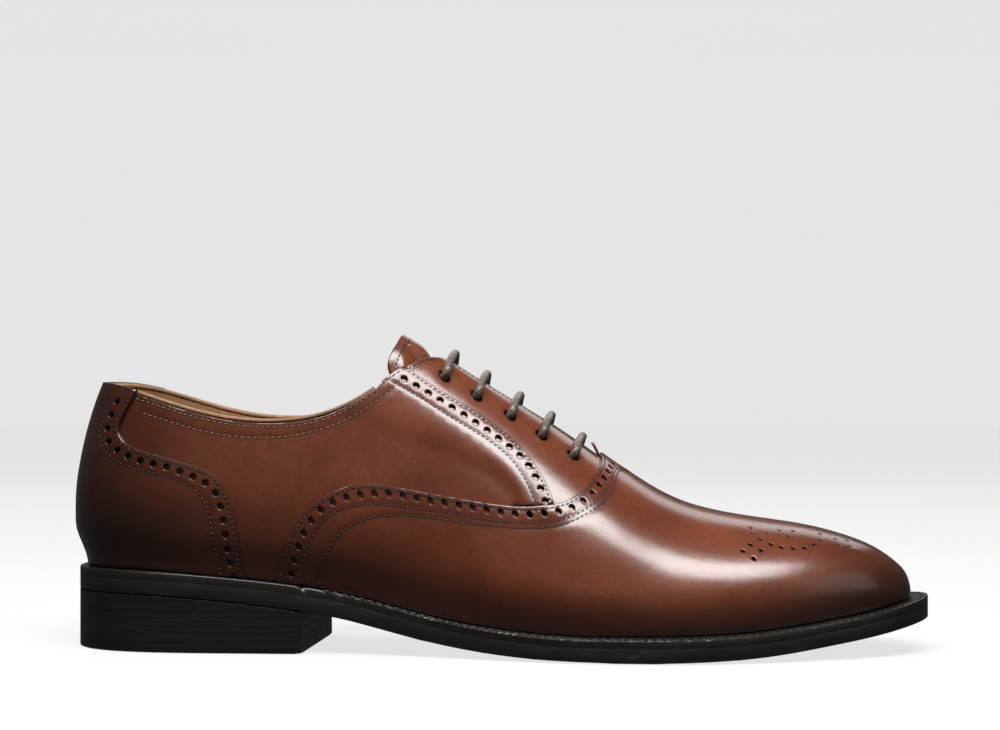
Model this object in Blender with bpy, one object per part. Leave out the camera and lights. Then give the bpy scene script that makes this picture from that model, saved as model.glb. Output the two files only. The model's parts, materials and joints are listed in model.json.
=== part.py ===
"""Leather oxford shoe, right foot, UK 9: a closed-laced semi-brogue on a welted leather sole.

X runs from heel to toe, +Y is the medial (inner) side and +Z is up. The design is in millimetres
from the back of the outsole, and to_world() turns it into metres about the origin, which is the
bottom centre of the shoe. Every upper piece lies on one surface, the last, at its own depth.
"""
import math

import bmesh
import bpy
import numpy as np
from mathutils import Matrix, Vector
from mathutils.geometry import delaunay_2d_cdt

# -- driving dimensions (mm) --------------------------------------------------------------------
MM = 0.001
ORIGIN_X = 152.43        # middle of the shoe's length
ORIGIN_Y = -1.64         # middle of its width
SOLE_LENGTH = 306.0
HEEL_X = -1.8            # rearmost and foremost points of the last
TOE_X = 300.2
FAN_X = 60.0             # behind this station the columns fan round the heel
TUCK_HEIGHT = 16.0       # the upper pulls in towards the feather edge over this height
LATERAL, MEDIAL = -1, 1

GAP = 0.4                # clearance between two layers of leather
LEATHER = 1.0            # thickness of an upper or lining leather
STEP = LEATHER + GAP     # depth from one layer to the next
LAP = 7.5                # width of a seam's hidden under-lap
LAP_EASE = 5.0           # an over-lapping panel comes down to the last over this width
FEATHER_GAP = 0.4        # the upper stands this far above the welt

WELT = 2.6
SOLE_GAP = 0.3
HEEL_BREAST = 86.6       # length of the heel on the centre line
BREAST_SLANT = 0.035
WELT_WIDTH = 12.0
INSOLE = 3.0
SOCK = 1.0

EYELET_HOLE = 1.85       # radii of the blind eyelets' bore, tube and flange
EYELET_TUBE = 2.3
EYELET_FLANGE = 3.8
EYELET_TOP = -1.4
EYELET_BOTTOM = -3.8
FACING_HOLE = 2.4
LINING_HOLE = 3.7
LACE = 1.5               # radius
LACE_BEND = 2.05         # radius of the lace's centre line round an eyelet's rim
INNER_RUN = EYELET_BOTTOM - LACE_BEND
BYPASS = 3.6             # sideways room for a run that passes an eyelet on the inside
BAR_LEAN = 5.0           # a bar crosses the sloping ridge this far ahead of its eyelets
BAR_SLOPE = 0.55

TONGUE_TOP = -7.7        # outer face of the tongue below the lacing
TONGUE_THICK = 1.2
TONGUE_HINGE = (195.5, 58.5)

COARSE = (9.0, 9.0)       # mesh spacing of the sides, of the toe and its tip, and round the heel
TOE = (6.2, 6.2)
TIP = (4.0, 4.0)
ROUND_HEEL = (4.6, 6.5)
UNDER_LACES = (5.0, 4.0)

# -- profiles of the last: (length, value) pairs ------------------------------------------------
UPPER_LATERAL = ((HEEL_X, 0), (8, 21.5), (30, 30.5), (60, 32.3), (90, 32.0), (118, 33.5), (145, 38.8),
                 (172, 45.8), (200, 49.0), (225, 47.2), (250, 40.5), (270, 32.2), (286, 23.3),
                 (296, 13.5), (TOE_X, 0))
UPPER_MEDIAL = ((HEEL_X, 0), (8, 21.5), (32, 30.0), (60, 30.8), (95, 26.6), (120, 25.6), (145, 29.0),
                (170, 36.5), (195, 43.2), (222, 45.8), (248, 42.3), (268, 35.0), (286, 25.0),
                (296.3, 14.0), (TOE_X, 0))
FEATHER = ((HEEL_X, 28.8), (20, 28.8), (36, 28.3), (64, 26.2), (84, 24.0), (100, 21.3), (120, 16.5),
           (140, 12.2), (160, 9.7), (180, 8.4), (200, 8.3), (212, 8.3), (225, 8.5), (248, 9.9),
           (270, 12.9), (288, 15.9), (TOE_X, 18.6))
RIDGE = ((HEEL_X, 137), (30, 136.5), (60, 134), (80, 129), (100, 122.5), (118.6, 114), (134.2, 104.6),
         (153.8, 92), (174.5, 78.8), (193.2, 65.6), (207.2, 57.0), (221.7, 51.2), (243.4, 46.7),
         (262, 44.0), (276, 40.6), (288, 35.8), (294.5, 31.3), (298.6, 26.6), (TOE_X, 18.6))
CENTRE = ((HEEL_X, 0), (60, 0), (120, 0), (150, 1), (190, 3), (225, 5), (260, 4), (TOE_X, 1.5))
SIDE_POWER = ((HEEL_X, 2.0), (60, 2.0), (118, 1.95), (150, 1.9), (190, 2.0), (230, 2.3),
              (265, 2.45), (TOE_X, 2.5))
TOP_POWER = ((HEEL_X, 2.2), (60, 2.2), (118, 2.0), (150, 1.85), (190, 1.75), (230, 1.9),
             (265, 2.15), (TOE_X, 2.3))
TUCK = ((HEEL_X, 5.0), (20, 4.2), (50, 3.3), (100, 2.6), (160, 2.0), (220, 1.4), (270, 0.9),
        (TOE_X, 0.6))

# -- profiles of the sole -----------------------------------------------------------------------
SOLE_LATERAL = ((0, 0), (9, 22.5), (30, 31.8), (60, 33.4), (90, 33.5), (118, 36), (145, 42),
                (172, 49.5), (200, 53), (225, 51.3), (250, 44.5), (272, 35.5), (290, 26),
                (301, 15.5), (SOLE_LENGTH, 0))
SOLE_MEDIAL = ((0, 0), (9, 22.5), (32, 31.5), (65, 31.5), (95, 28), (120, 27.3), (145, 31.5),
               (170, 40), (195, 47), (222, 49.8), (248, 46.5), (270, 38.5), (290, 27.5),
               (301.5, 16.5), (SOLE_LENGTH, 0))
SOLE_BOTTOM = ((HEEL_X, 20.5), (20, 20.5), (40, 19.6), (64, 17.6), (84, 15.0), (100, 12.2), (120, 7.4),
               (140, 3.4), (160, 1.1), (180, 0.2), (200, 0), (212, 0), (225, 0.3), (248, 1.7),
               (270, 4.7), (288, 7.7), (TOE_X, 10.3))

# -- seams in side view: (length, height) pairs, the same on both sides -----------------------------
TOPLINE = ((9.5, 94.6), (18, 94.0), (30.5, 90.8), (44.5, 86.6), (58.5, 83.5), (72.5, 82.4), (86.5, 83.5),
           (98, 87.0), (107.5, 92.2), (114, 96.8), (119.6, 100.6))
FACING_TOP = ((115, 97.4), (119.6, 100.6), (124, 103.0), (128.2, 104.4), (131.8, 104.0))
STRIP_EDGE = ((120.3, 100.4), (132, 92.5), (143, 85.9), (152.5, 79.7), (158.5, 75), (163, 70.8),
              (166.8, 66.2), (170, 61.4), (172.4, 57), (174.5, 51.5))
VAMP_EDGE = ((189.5, 66), (188, 62.7), (184.7, 58.3), (180, 54.6), (174, 52.4), (166, 51.7),
             (156, 52.3), (143, 54.2), (129, 56.6), (116, 58.8), (108, 59.6), (101, 58.6),
             (94.5, 55.8), (88, 51.3), (83, 44.5), (80, 38), (78, 32), (76.5, 25))
COUNTER_EDGE = ((25.6, 92.3), (23.2, 87.5), (20.4, 82.2), (19.3, 78.6), (20.4, 75.3), (24.3, 72.4),
                (32.4, 69.8), (42, 67.2), (50, 64.8), (55.4, 61.8), (58.6, 57.6), (61, 51.5),
                (62.5, 46), (63.6, 38), (64.5, 32), (65.4, 26.3))
LINING_JOIN = ((186, 66), (178, 57), (166, 44), (154, 28), (146, 11.5))
EYELETS = ((180.1, 69.4), (168.9, 76.5), (157.6, 83.5), (145.6, 90.5), (134.1, 97.4))


# -- curves -------------------------------------------------------------------------------------
def station(x, start=HEEL_X, end=TOE_X):
    """Angle of a length x between two rounded ends, in which those ends are smooth."""
    along = (np.asarray(x, float) - start) / (end - start)
    return np.arccos(np.clip(1.0 - 2.0 * along, -1.0, 1.0))


def length_at(t, start=HEEL_X, end=TOE_X):
    """Length x of a station angle."""
    return start + 0.5 * (end - start) * (1.0 - np.cos(t))


def natural_bend(knots, values):
    """Second derivatives of the natural cubic spline through the knots."""
    gaps = np.diff(knots)
    count = len(knots)
    system = np.eye(count)
    right = np.zeros((count,) + values.shape[1:])
    for i in range(1, count - 1):
        system[i, i - 1:i + 2] = gaps[i - 1], 2.0 * (gaps[i - 1] + gaps[i]), gaps[i]
        right[i] = 6.0 * ((values[i + 1] - values[i]) / gaps[i]
                          - (values[i] - values[i - 1]) / gaps[i - 1])
    return np.linalg.solve(system, right)


def cubic(knots, values, bend, t):
    """Value of the natural cubic spline at t."""
    i = np.clip(np.searchsorted(knots, t) - 1, 0, len(knots) - 2)
    gap = knots[i + 1] - knots[i]
    a = knots[i + 1] - t
    b = t - knots[i]
    if values.ndim > 1:
        gap, a, b = gap[:, None], a[:, None], b[:, None]
    return ((bend[i] * a ** 3 + bend[i + 1] * b ** 3) / (6.0 * gap)
            + (values[i] / gap - bend[i] * gap / 6.0) * a
            + (values[i + 1] / gap - bend[i + 1] * gap / 6.0) * b)


def profile(table, start=HEEL_X, end=TOE_X):
    """Function of the station angle through (length, value) pairs, its ends rounded."""
    knots = station([row[0] for row in table], start, end)
    values = np.array([row[1] for row in table], float)
    bend = natural_bend(knots, values)

    def value(t):
        return cubic(knots, values, bend, np.asarray(t, float))
    return value


def plain_profile(table):
    """Function of the station angle through (length, value) pairs, straight at its ends."""
    knots, values = np.array(table, float).T
    bend = natural_bend(knots, values)

    def value(t):
        return cubic(knots, values, bend, length_at(np.asarray(t, float)))
    return value


def smooth(points, step):
    """Points about a step apart on the natural cubic curve through some points."""
    points = np.asarray(points, float)
    lengths = np.linalg.norm(np.diff(points, axis=0), axis=1)
    knots = np.concatenate([[0.0], np.cumsum(lengths)])
    count = max(2, int(round(knots[-1] / step)) + 1)
    return cubic(knots, points, natural_bend(knots, points), np.linspace(0.0, knots[-1], count))


def ease(value, start, end):
    """0 at start, 1 at end, smooth between."""
    along = np.clip((value - start) / (end - start), 0.0, 1.0)
    return along * along * (3.0 - 2.0 * along)


def distance_to(points, curve):
    """Distance of each point from a polyline."""
    start, step = curve[:-1], np.diff(curve, axis=0)
    real = np.linalg.norm(step, axis=1) > 1e-6
    start, step = start[real], step[real]
    apart = points[:, None, :] - start[None]
    along = np.clip((apart * step).sum(-1) / (step * step).sum(-1), 0.0, 1.0)
    return np.linalg.norm(apart - along[..., None] * step, axis=-1).min(axis=1)


def beside(curve, offset):
    """The polyline moved sideways, to the left of its direction for a positive offset."""
    direction = np.gradient(curve, axis=0)
    direction /= np.linalg.norm(direction, axis=1)[:, None]
    return curve + offset * np.stack([-direction[:, 1], direction[:, 0]], -1)


# -- the last -----------------------------------------------------------------------------------
half_width = {LATERAL: profile(UPPER_LATERAL), MEDIAL: profile(UPPER_MEDIAL)}
feather_z = plain_profile(FEATHER)
ridge_z = profile(RIDGE)
centre_y = plain_profile(CENTRE)
side_power = plain_profile(SIDE_POWER)
top_power = plain_profile(TOP_POWER)
tuck_in = plain_profile(TUCK)


def last_point(t, side, angle):
    """Point on the last: station angle t, side, and angle up its column, 90 degrees at the ridge."""
    x = length_at(t)
    middle = np.maximum(x, FAN_X)
    across = side * np.where(side < 0, half_width[LATERAL](t), half_width[MEDIAL](t))
    rise = (ridge_z(t) - feather_z(t)) * np.sin(angle) ** (2.0 / top_power(t))
    reach = np.hypot(x - middle, across) + 1e-9
    fade = 1.0 - ease(rise, 0.0, TUCK_HEIGHT)
    tuck = tuck_in(t) * fade / (reach + 8.0)
    out = np.maximum(np.cos(angle), 0.0) ** (2.0 / side_power(t)) * (1.0 - tuck)
    return np.stack([middle + (x - middle) * out, centre_y(t) + across * out,
                     feather_z(t) + rise], -1)


def last_normal(t, side, angle):
    """Outward unit normal of the last, by differences."""
    step = 0.004
    t = np.clip(t, 2 * step, math.pi - 2 * step)
    low, high = np.maximum(angle - step, 0.0), np.minimum(angle + step, math.pi / 2)
    over = angle + step > math.pi / 2
    along = last_point(t + step, side, angle) - last_point(t - step, side, angle)
    up = last_point(t, side, high) - last_point(t, side, low)
    mirrored = last_point(t, -side, math.pi / 2 - step) - last_point(t, side, low)
    up = np.where(over[..., None], mirrored, up)
    normal = np.cross(up, along) * np.asarray(side)[..., None]
    return normal / np.linalg.norm(normal, axis=-1)[..., None]


COLUMN_ANGLES = np.linspace(0.0, math.pi / 2, 61)
STATIONS = np.linspace(0.0, math.pi, 181)


def measured(side):
    """Lengths on one side of the last: up each column, along the feather, along the ridge."""
    grid = last_point(STATIONS[:, None], side, COLUMN_ANGLES[None, :])
    up = np.linalg.norm(np.diff(grid, axis=1), axis=-1)
    feather = np.linalg.norm(np.diff(grid[:, 0], axis=0), axis=-1)
    ridge = np.linalg.norm(np.diff(grid[:, -1], axis=0), axis=-1)
    return {"girth": np.pad(np.cumsum(up, axis=1), ((0, 0), (1, 0))),
            "feather": np.pad(np.cumsum(feather), (1, 0)),
            "ridge": np.pad(np.cumsum(ridge), (1, 0))}


LENGTHS = {LATERAL: measured(LATERAL), MEDIAL: measured(MEDIAL)}


def column(t, side):
    """Girth table of the column at each station, one row a point."""
    place = np.clip(t / math.pi * (len(STATIONS) - 1), 0, len(STATIONS) - 1.000001)
    index = place.astype(int)
    part = (place - index)[:, None]
    rows = [LENGTHS[s]["girth"][index] * (1 - part) + LENGTHS[s]["girth"][index + 1] * part
            for s in (LATERAL, MEDIAL)]
    return np.where(side[:, None] < 0, rows[0], rows[1])


def angle_of(t, side, girth):
    """Angle up the column at a girth from the feather."""
    rows = column(t, side)
    index = np.clip((rows < girth[:, None]).sum(axis=1) - 1, 0, rows.shape[1] - 2)
    every = np.arange(len(rows))
    low, high = rows[every, index], rows[every, index + 1]
    part = np.clip((girth - low) / (high - low + 1e-12), 0.0, 1.0)
    return COLUMN_ANGLES[index] + part * (COLUMN_ANGLES[1] - COLUMN_ANGLES[0])


def girth_of(t, side, angle):
    """Girth from the feather at an angle up the column."""
    rows = column(t, side)
    return np.array([np.interp(a, COLUMN_ANGLES, row) for a, row in zip(angle, rows)])


def on_side(points, side):
    """Station and angle of side-view points (length, height)."""
    points = np.asarray(points, float)
    side = np.full(len(points), side)
    x = points[:, 0].copy()
    for _ in range(40):
        t = station(x)
        share = np.clip((points[:, 1] - feather_z(t)) / (ridge_z(t) - feather_z(t)), 0.0, 1.0)
        angle = np.arcsin(share ** (0.5 * top_power(t)))
        x = np.clip(x + points[:, 0] - last_point(t, side, angle)[:, 0], HEEL_X, TOE_X)
    return t, side, angle


# Two flat charts of the last. "heel": distance along the feather from the heel and girth up from
# the feather. "ridge": distance along the ridge and girth down from it. Both are positive for a
# piece on one side; where a piece crosses the middle, its medial half is negative in the first
# and its lateral half in the second.
def heel_chart(points, side):
    """Side-view points in the heel chart."""
    return to_heel(*on_side(points, side))


def ridge_chart(points, side):
    """Side-view points in the ridge chart."""
    return to_ridge(*on_side(points, side))


def to_heel(t, side, angle):
    """Heel-chart points of points on one side of the last."""
    along = np.interp(t, STATIONS, LENGTHS[side[0]]["feather"])
    return np.stack([along, girth_of(t, side, angle)], -1)


def to_ridge(t, side, angle):
    """Ridge-chart points of points on one side of the last."""
    down = column(t, side)[:, -1] - girth_of(t, side, angle)
    return np.stack([np.interp(t, STATIONS, LENGTHS[side[0]]["ridge"]), down], -1)


def from_heel(chart):
    """Station, side and angle of heel-chart points."""
    side = np.where(chart[:, 0] < 0, MEDIAL, LATERAL)
    t = np.where(side < 0, np.interp(np.abs(chart[:, 0]), LENGTHS[LATERAL]["feather"], STATIONS),
                 np.interp(np.abs(chart[:, 0]), LENGTHS[MEDIAL]["feather"], STATIONS))
    return t, side, angle_of(t, side, chart[:, 1])


def from_ridge(chart):
    """Station, side and angle of ridge-chart points."""
    side = np.where(chart[:, 1] < 0, LATERAL, MEDIAL)
    t = np.interp(chart[:, 0], LENGTHS[LATERAL]["ridge"], STATIONS)
    girth = column(t, side)[:, -1] - np.abs(chart[:, 1])
    return t, side, angle_of(t, side, girth)


def placed(spot, depth):
    """Points at a depth (positive outward) from the last."""
    t, side, angle = spot
    return last_point(t, side, angle) + last_normal(t, side, angle) * np.reshape(depth, (-1, 1))


def ridge_at(x):
    """Distance along the ridge at a length."""
    return float(np.interp(station(x), STATIONS, LENGTHS[LATERAL]["ridge"]))


def feather_line(start, end, side, step, lift=FEATHER_GAP):
    """Ridge-chart points just above the feather between two lengths."""
    t = np.linspace(station(start), station(end), max(2, int(abs(end - start) / step) + 1))
    sides = np.full(len(t), side)
    down = column(t, sides)[:, -1] - lift
    return np.stack([np.interp(t, STATIONS, LENGTHS[side]["ridge"]), down], -1)


# -- meshes ---------------------------------------------------------------------------------------
def to_world(points):
    """Design millimetres to metres about the origin."""
    return (np.asarray(points, float) - (ORIGIN_X, ORIGIN_Y, 0.0)) * MM


def finish(name, points, faces, colour, roughness, metallic=0.0):
    """One named object with its own material, faces pointing out."""
    mesh = bpy.data.meshes.new(name)
    mesh.from_pydata([tuple(p) for p in to_world(points)], [], [tuple(f) for f in faces])
    work = bmesh.new()
    work.from_mesh(mesh)
    bmesh.ops.recalc_face_normals(work, faces=work.faces)
    if work.calc_volume(signed=True) < 0:
        bmesh.ops.reverse_faces(work, faces=work.faces)
    bmesh.ops.triangulate(work, faces=work.faces)
    work.to_mesh(mesh)
    work.free()
    mesh.shade_smooth()
    mesh.set_sharp_from_angle(angle=math.radians(35))
    part = bpy.data.objects.new(name, mesh)
    bpy.context.scene.collection.objects.link(part)
    part.data.materials.append(material(name, colour, roughness, metallic))
    return part


def material(name, colour, roughness, metallic):
    """Plain Principled material."""
    made = bpy.data.materials.new(name)
    made.use_nodes = True
    shader = made.node_tree.nodes["Principled BSDF"]
    shader.inputs["Base Color"].default_value = (*colour, 1.0)
    shader.inputs["Roughness"].default_value = roughness
    shader.inputs["Metallic"].default_value = metallic
    return made


def inside(points, loop):
    """Which points lie inside a closed loop."""
    x, y = points[:, :1], points[:, 1:]
    a, b = loop, np.roll(loop, -1, axis=0)
    spans = (a[:, 1] > y) != (b[:, 1] > y)
    with np.errstate(divide="ignore", invalid="ignore"):
        cross = (b[:, 0] - a[:, 0]) * (y - a[:, 1]) / (b[:, 1] - a[:, 1]) + a[:, 0]
    return (spans & (x < cross)).sum(axis=1) % 2 == 1


def lattice(loops, spacing, test=None):
    """Grid points inside the first loop, outside the others and clear of all of them."""
    low, high = loops[0].min(axis=0), loops[0].max(axis=0)
    first, last = np.floor(low / spacing), np.ceil(high / spacing) + 1
    grid = np.stack(np.meshgrid(*(np.arange(first[i], last[i]) * spacing[i] for i in (0, 1))),
                    -1).reshape(-1, 2)
    if test is not None:
        grid = grid[test(grid)]
    grid = grid[inside(grid, loops[0])]
    for loop in loops:
        closed = np.vstack([loop, loop[:1]])
        grid = grid[distance_to(grid, closed) > 0.45 * min(spacing)]
    for hole in loops[1:]:
        grid = grid[~inside(grid, hole)]
    return grid


def graded(loops, zones, rows=()):
    """Grid whose spacing changes by zone, with extra rows of points along some seams."""
    grid = [np.zeros((0, 2))]
    taken = lambda q: np.zeros(len(q), bool)
    for spacing, zone in zones:
        part = lattice(loops, spacing, lambda q: zone(q) & ~taken(q))
        grid.append(part)
        taken = either(taken, zone)
    grid = np.vstack(grid)
    for row in rows:
        row = row[inside(row, loops[0])]
        row = row[distance_to(row, np.vstack([loops[0], loops[0][:1]])) > 2.0]
        grid = grid[distance_to(grid, row) > 2.5]
        grid = np.vstack([grid, row])
    return grid


def either(first, second):
    """Test that holds where one of two tests does."""
    return lambda q: first(q) | second(q)


def everywhere(q):
    """The zone of a whole panel."""
    return np.ones(len(q), bool)


def sheet(loops, grid):
    """Triangles that fill the first loop around the others, with their points."""
    points = [Vector(p) for loop in loops for p in loop] + [Vector(p) for p in grid]
    edges = []
    start = 0
    for loop in loops:
        count = len(loop)
        edges += [(start + i, start + (i + 1) % count) for i in range(count)]
        start += count
    made, _, faces, _, _, _ = delaunay_2d_cdt(points, edges, [], 0, 1e-5)
    flat = np.array([tuple(p) for p in made])
    faces = np.array([tuple(f) for f in faces])
    middle = flat[faces].mean(axis=1)
    keep = inside(middle, loops[0])
    for hole in loops[1:]:
        keep &= ~inside(middle, hole)
    faces = faces[keep]
    used, back = np.unique(faces, return_inverse=True)
    return flat[used], back.reshape(faces.shape)


def divided(loop, longest=6.5):
    """A closed loop with its long edges cut up."""
    points = []
    for here, there in zip(loop, np.roll(loop, -1, axis=0)):
        count = max(1, math.ceil(np.linalg.norm(there - here) / longest))
        points += [here + (there - here) * i / count for i in range(count)]
    return np.array(points)


def panel(name, loops, grid, low, high, look):
    """Closed solid between two surfaces over a sheet."""
    flat, faces = sheet(loops, grid)
    count = len(flat)
    solid = [tuple(f) for f in faces] + [tuple(count + v for v in f[::-1]) for f in faces]
    sides = {(f[i], f[(i + 1) % 3]) for f in faces for i in range(3)}
    solid += [(b, a, count + a, count + b) for a, b in sides if (b, a) not in sides]
    return finish(name, np.vstack([low(flat), high(flat)]), solid, *look)


def leather(name, loops, chart, depth, look, zones, rows=(), thickness=LEATHER):
    """Upper or lining panel: outer face at depth(chart points) from the last."""
    def face(q, under):
        return placed(chart(q), depth(q) - under)
    loops = [divided(loop) for loop in loops]
    panel(name, loops, graded(loops, zones, rows), lambda q: face(q, thickness),
          lambda q: face(q, 0.0), look)


def ring(centre, radius, count=10):
    """Closed round loop in a chart."""
    turn = np.arange(count) * 2 * math.pi / count
    return np.asarray(centre) + radius * np.stack([np.cos(turn), np.sin(turn)], -1)


# -- looks: colour, roughness, metallic -------------------------------------------------------------
BROWN = ((0.23, 0.055, 0.02), 0.28)
TAN = ((0.62, 0.36, 0.18), 0.6)
BLACK = ((0.012, 0.012, 0.013), 0.4)
CORK = ((0.35, 0.2, 0.1), 0.9)
BOARD = ((0.5, 0.35, 0.2), 0.8)
LACE_LOOK = ((0.05, 0.04, 0.035), 0.6)
AGLET_LOOK = ((0.02, 0.02, 0.02), 0.3)
STEEL = ((0.6, 0.6, 0.62), 0.35, 1.0)
BRASS = ((0.7, 0.5, 0.2), 0.35, 1.0)

# -- seams ------------------------------------------------------------------------------------------
EDGE_STEP = 5.5
BINDING = 1.2            # visible width of the topline binding
BINDING_END = 124.0      # and how far along the feather it runs
LAP_CLEAR = LAP + 1.4    # an over-lapping panel is fully raised this far from its edge
HEEL_GRIP = 57.0         # reach of the heel grip, the heel stiffener and its height
STIFFENER = 40.0
STIFFENER_HEIGHT = 30.0
TAB_FLOOR = 36.0         # the quarters run back under the counter's tab above this girth
PUFF_X = 262.0           # rear edge of the toe puff
FACING_EDGE = 4.4        # girth from the ridge to the facing's free edge
THROAT_X = 188.6
LINING_THROAT_X = 191.5
LINED = STEP + LEATHER   # depth of the lining's inner face


def joined(*pieces):
    """One outline from several runs of points."""
    return np.vstack([np.reshape(piece, (-1, 2)) for piece in pieces])


def crossing(first, second):
    """Where two polylines first cross: segment of each, and the point."""
    for i in range(len(first) - 1):
        a, b = first[i], first[i + 1] - first[i]
        for j in range(len(second) - 1):
            c, d = second[j], second[j + 1] - second[j]
            across = b[0] * d[1] - b[1] * d[0]
            if abs(across) < 1e-12:
                continue
            along = ((c[0] - a[0]) * d[1] - (c[1] - a[1]) * d[0]) / across
            other = ((c[0] - a[0]) * b[1] - (c[1] - a[1]) * b[0]) / across
            if 0 <= along <= 1 and 0 <= other <= 1:
                return i, j, a + along * b
    raise ValueError("the seams do not cross")


def before(curve, other):
    """The curve up to where it crosses another, ending there."""
    i, _, point = crossing(curve, other)
    return joined(curve[:i + 1], point)


def after(curve, other):
    """The curve from where it crosses another, starting there."""
    i, _, point = crossing(curve, other)
    return joined(point, curve[i + 1:])


def lap_raise(apart):
    """Raise of a panel over its neighbour's under-lap, by distance from its own edge."""
    return STEP * (1.0 - ease(apart, LAP_CLEAR, LAP_CLEAR + LAP_EASE))


def chart_of(points, side):
    """Ridge-chart points of one side in the heel chart."""
    return to_heel(*from_ridge(points * (1, side)))


def one_side(chart, side):
    """A chart's lookup for a piece that lies on one side."""
    signs = (-side, 1) if chart is from_heel else (1, side)
    return lambda q: chart(q * signs)


def toe_zones():
    """Mesh zones of a panel in the ridge chart that covers the toe."""
    return ((TIP, lambda q: q[:, 0] > ridge_at(286)), (TOE, lambda q: q[:, 0] > ridge_at(246)),
            (COARSE, everywhere))


def heel_zones():
    """Mesh zones of a panel in the heel chart that reaches the heel."""
    return ((ROUND_HEEL, lambda q: np.abs(q[:, 0]) < 64.0), (COARSE, everywhere))


def across(make):
    """A curve of both sides in the ridge chart, lateral rear to medial rear by the ridge."""
    lateral, medial = make(LATERAL), make(MEDIAL)
    return lateral[::-1] * (1, -1), medial


def vamp_edge():
    """The vamp's free edge across both sides, in the ridge chart."""
    lateral, medial = across(lambda side: ridge_chart(VAMP_EDGE, side))
    return smooth(joined(lateral, (ridge_at(THROAT_X), 0.0), medial), EDGE_STEP)


def lining_edge():
    """The seam between the vamp lining and the quarter linings, in the ridge chart."""
    lateral, medial = across(lambda side: ridge_chart(LINING_JOIN, side))
    return smooth(joined(lateral, (ridge_at(LINING_THROAT_X), 0.0), medial), EDGE_STEP)


def feather_heel(start, end):
    """Heel-chart points along the feather between two distances."""
    along = np.linspace(start, end, max(2, int(abs(end - start) / EDGE_STEP) + 1))
    return np.stack([along, np.full(len(along), FEATHER_GAP)], -1)


# -- upper --------------------------------------------------------------------------------------------
def make_vamp():
    """Vamp: one piece from the toe to the throat, over the quarters and facings."""
    edge = vamp_edge()
    loop = joined(edge, toe_feather(76.5, 76.5))
    leather("vamp", [loop], from_ridge, lambda q: lap_raise(distance_to(q, edge)), BROWN,
            toe_zones(), [beside(edge, -LAP_CLEAR + 0.2)])


def toe_feather(medial_start, lateral_start):
    """Ridge-chart points along the feather, from the medial side round the toe."""
    medial = feather_line(medial_start, TOE_X - 0.05, MEDIAL, EDGE_STEP)
    lateral = feather_line(TOE_X - 0.05, lateral_start, LATERAL, EDGE_STEP) * (1, -1)
    return joined(medial[1:], lateral[1:-1])


def make_vamp_lining():
    """Lining of the vamp, sunk under the toe puff."""
    edge = lining_edge()
    loop = joined(edge, toe_feather(146, 146))
    leather("vamp_lining", [loop], from_ridge,
            lambda q: -STEP - STEP * ease(q[:, 0], ridge_at(PUFF_X) - 7.0, ridge_at(PUFF_X) - 1.5),
            TAN, toe_zones())


def make_toe_puff():
    """Stiffener between vamp and lining at the toe."""
    start = ridge_at(PUFF_X)
    half = [column(np.array([station(PUFF_X)]), np.array([side]))[0, -1] - 1.0
            for side in (LATERAL, MEDIAL)]
    rear = np.stack([np.full(13, start), np.linspace(-half[0], half[1], 13)], -1)
    loop = joined(rear, toe_feather(PUFF_X, PUFF_X))
    leather("toe_puff", [loop], from_ridge, lambda q: np.full(len(q), -STEP), BOARD, toe_zones())


def make_facing(side, name):
    """Facing: the eyelet strip, under the quarter's brogued edge and under the vamp."""
    free = np.array([(u, FACING_EDGE) for u in np.linspace(ridge_at(135.5), ridge_at(200), 14)])
    top = smooth(ridge_chart(FACING_TOP, side), EDGE_STEP)
    hidden = beside(smooth(ridge_chart(STRIP_EDGE, side), EDGE_STEP), LAP)
    hidden = joined(hidden, 3 * hidden[-1] - 2 * hidden[-2])
    half = vamp_edge() * (1, side)
    half = half[half[:, 1] > 0][::side]
    front = beside(joined((ridge_at(THROAT_X), 0.0), half), -LAP)
    loop = joined(before(free, front), after(before(front, hidden), free)[1:],
                  before(hidden, front)[::-1], top)
    holes = [ring(spot, FACING_HOLE) for spot in eyelet_spots()]
    leather(name, [loop, *holes], one_side(from_ridge, side), lambda q: np.zeros(len(q)), BROWN,
            ((UNDER_LACES, everywhere),))


def make_quarter(side, name):
    """Quarter: from the back seam to the vamp, its front edge over the facing."""
    strip = smooth(heel_chart(STRIP_EDGE, side), EDGE_STEP)
    vamp = smooth(joined(heel_chart(VAMP_EDGE, side)), EDGE_STEP)
    counter = smooth(heel_chart(COUNTER_EDGE, side), EDGE_STEP)
    top = smooth(heel_chart(TOPLINE, side), EDGE_STEP)
    top[:, 1] -= (BINDING + 0.3) * (1.0 - ease(top[:, 0], BINDING_END + 0.5, BINDING_END + 3.0))
    top[0, 0] = 0.2
    inner = beside(strip, -(LAP_CLEAR + LAP_EASE + 0.2))
    inner = joined(inner, 2 * inner[-1] - inner[-2])
    front = beside(vamp, -0.4)
    under = beside(vamp, LAP)
    under = joined(under[:-1], (under[-1][0], FEATHER_GAP))
    rear = beside(counter, -LAP)
    rear = joined(rear[:-1], (rear[-1][0], FEATHER_GAP))
    rear = rear[rear[:, 1] < TAB_FLOOR + 1.0]
    visible = before(strip, front)
    step_in = after(before(front, inner), strip)
    hidden = after(before(inner, under), front)
    lap = after(under, inner)
    feather = feather_heel(lap[-1][0], rear[-1][0])[1:-1]
    loop = joined(top, visible[1:], step_in[1:], hidden[1:], lap[1:], feather, rear[::-1],
                  (0.2, TAB_FLOOR))
    leather(name, [loop], one_side(from_heel, side), lambda q: lap_raise(distance_to(q, strip)),
            BROWN, heel_zones(), [beside(strip, 0.2 - LAP_CLEAR)])


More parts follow.
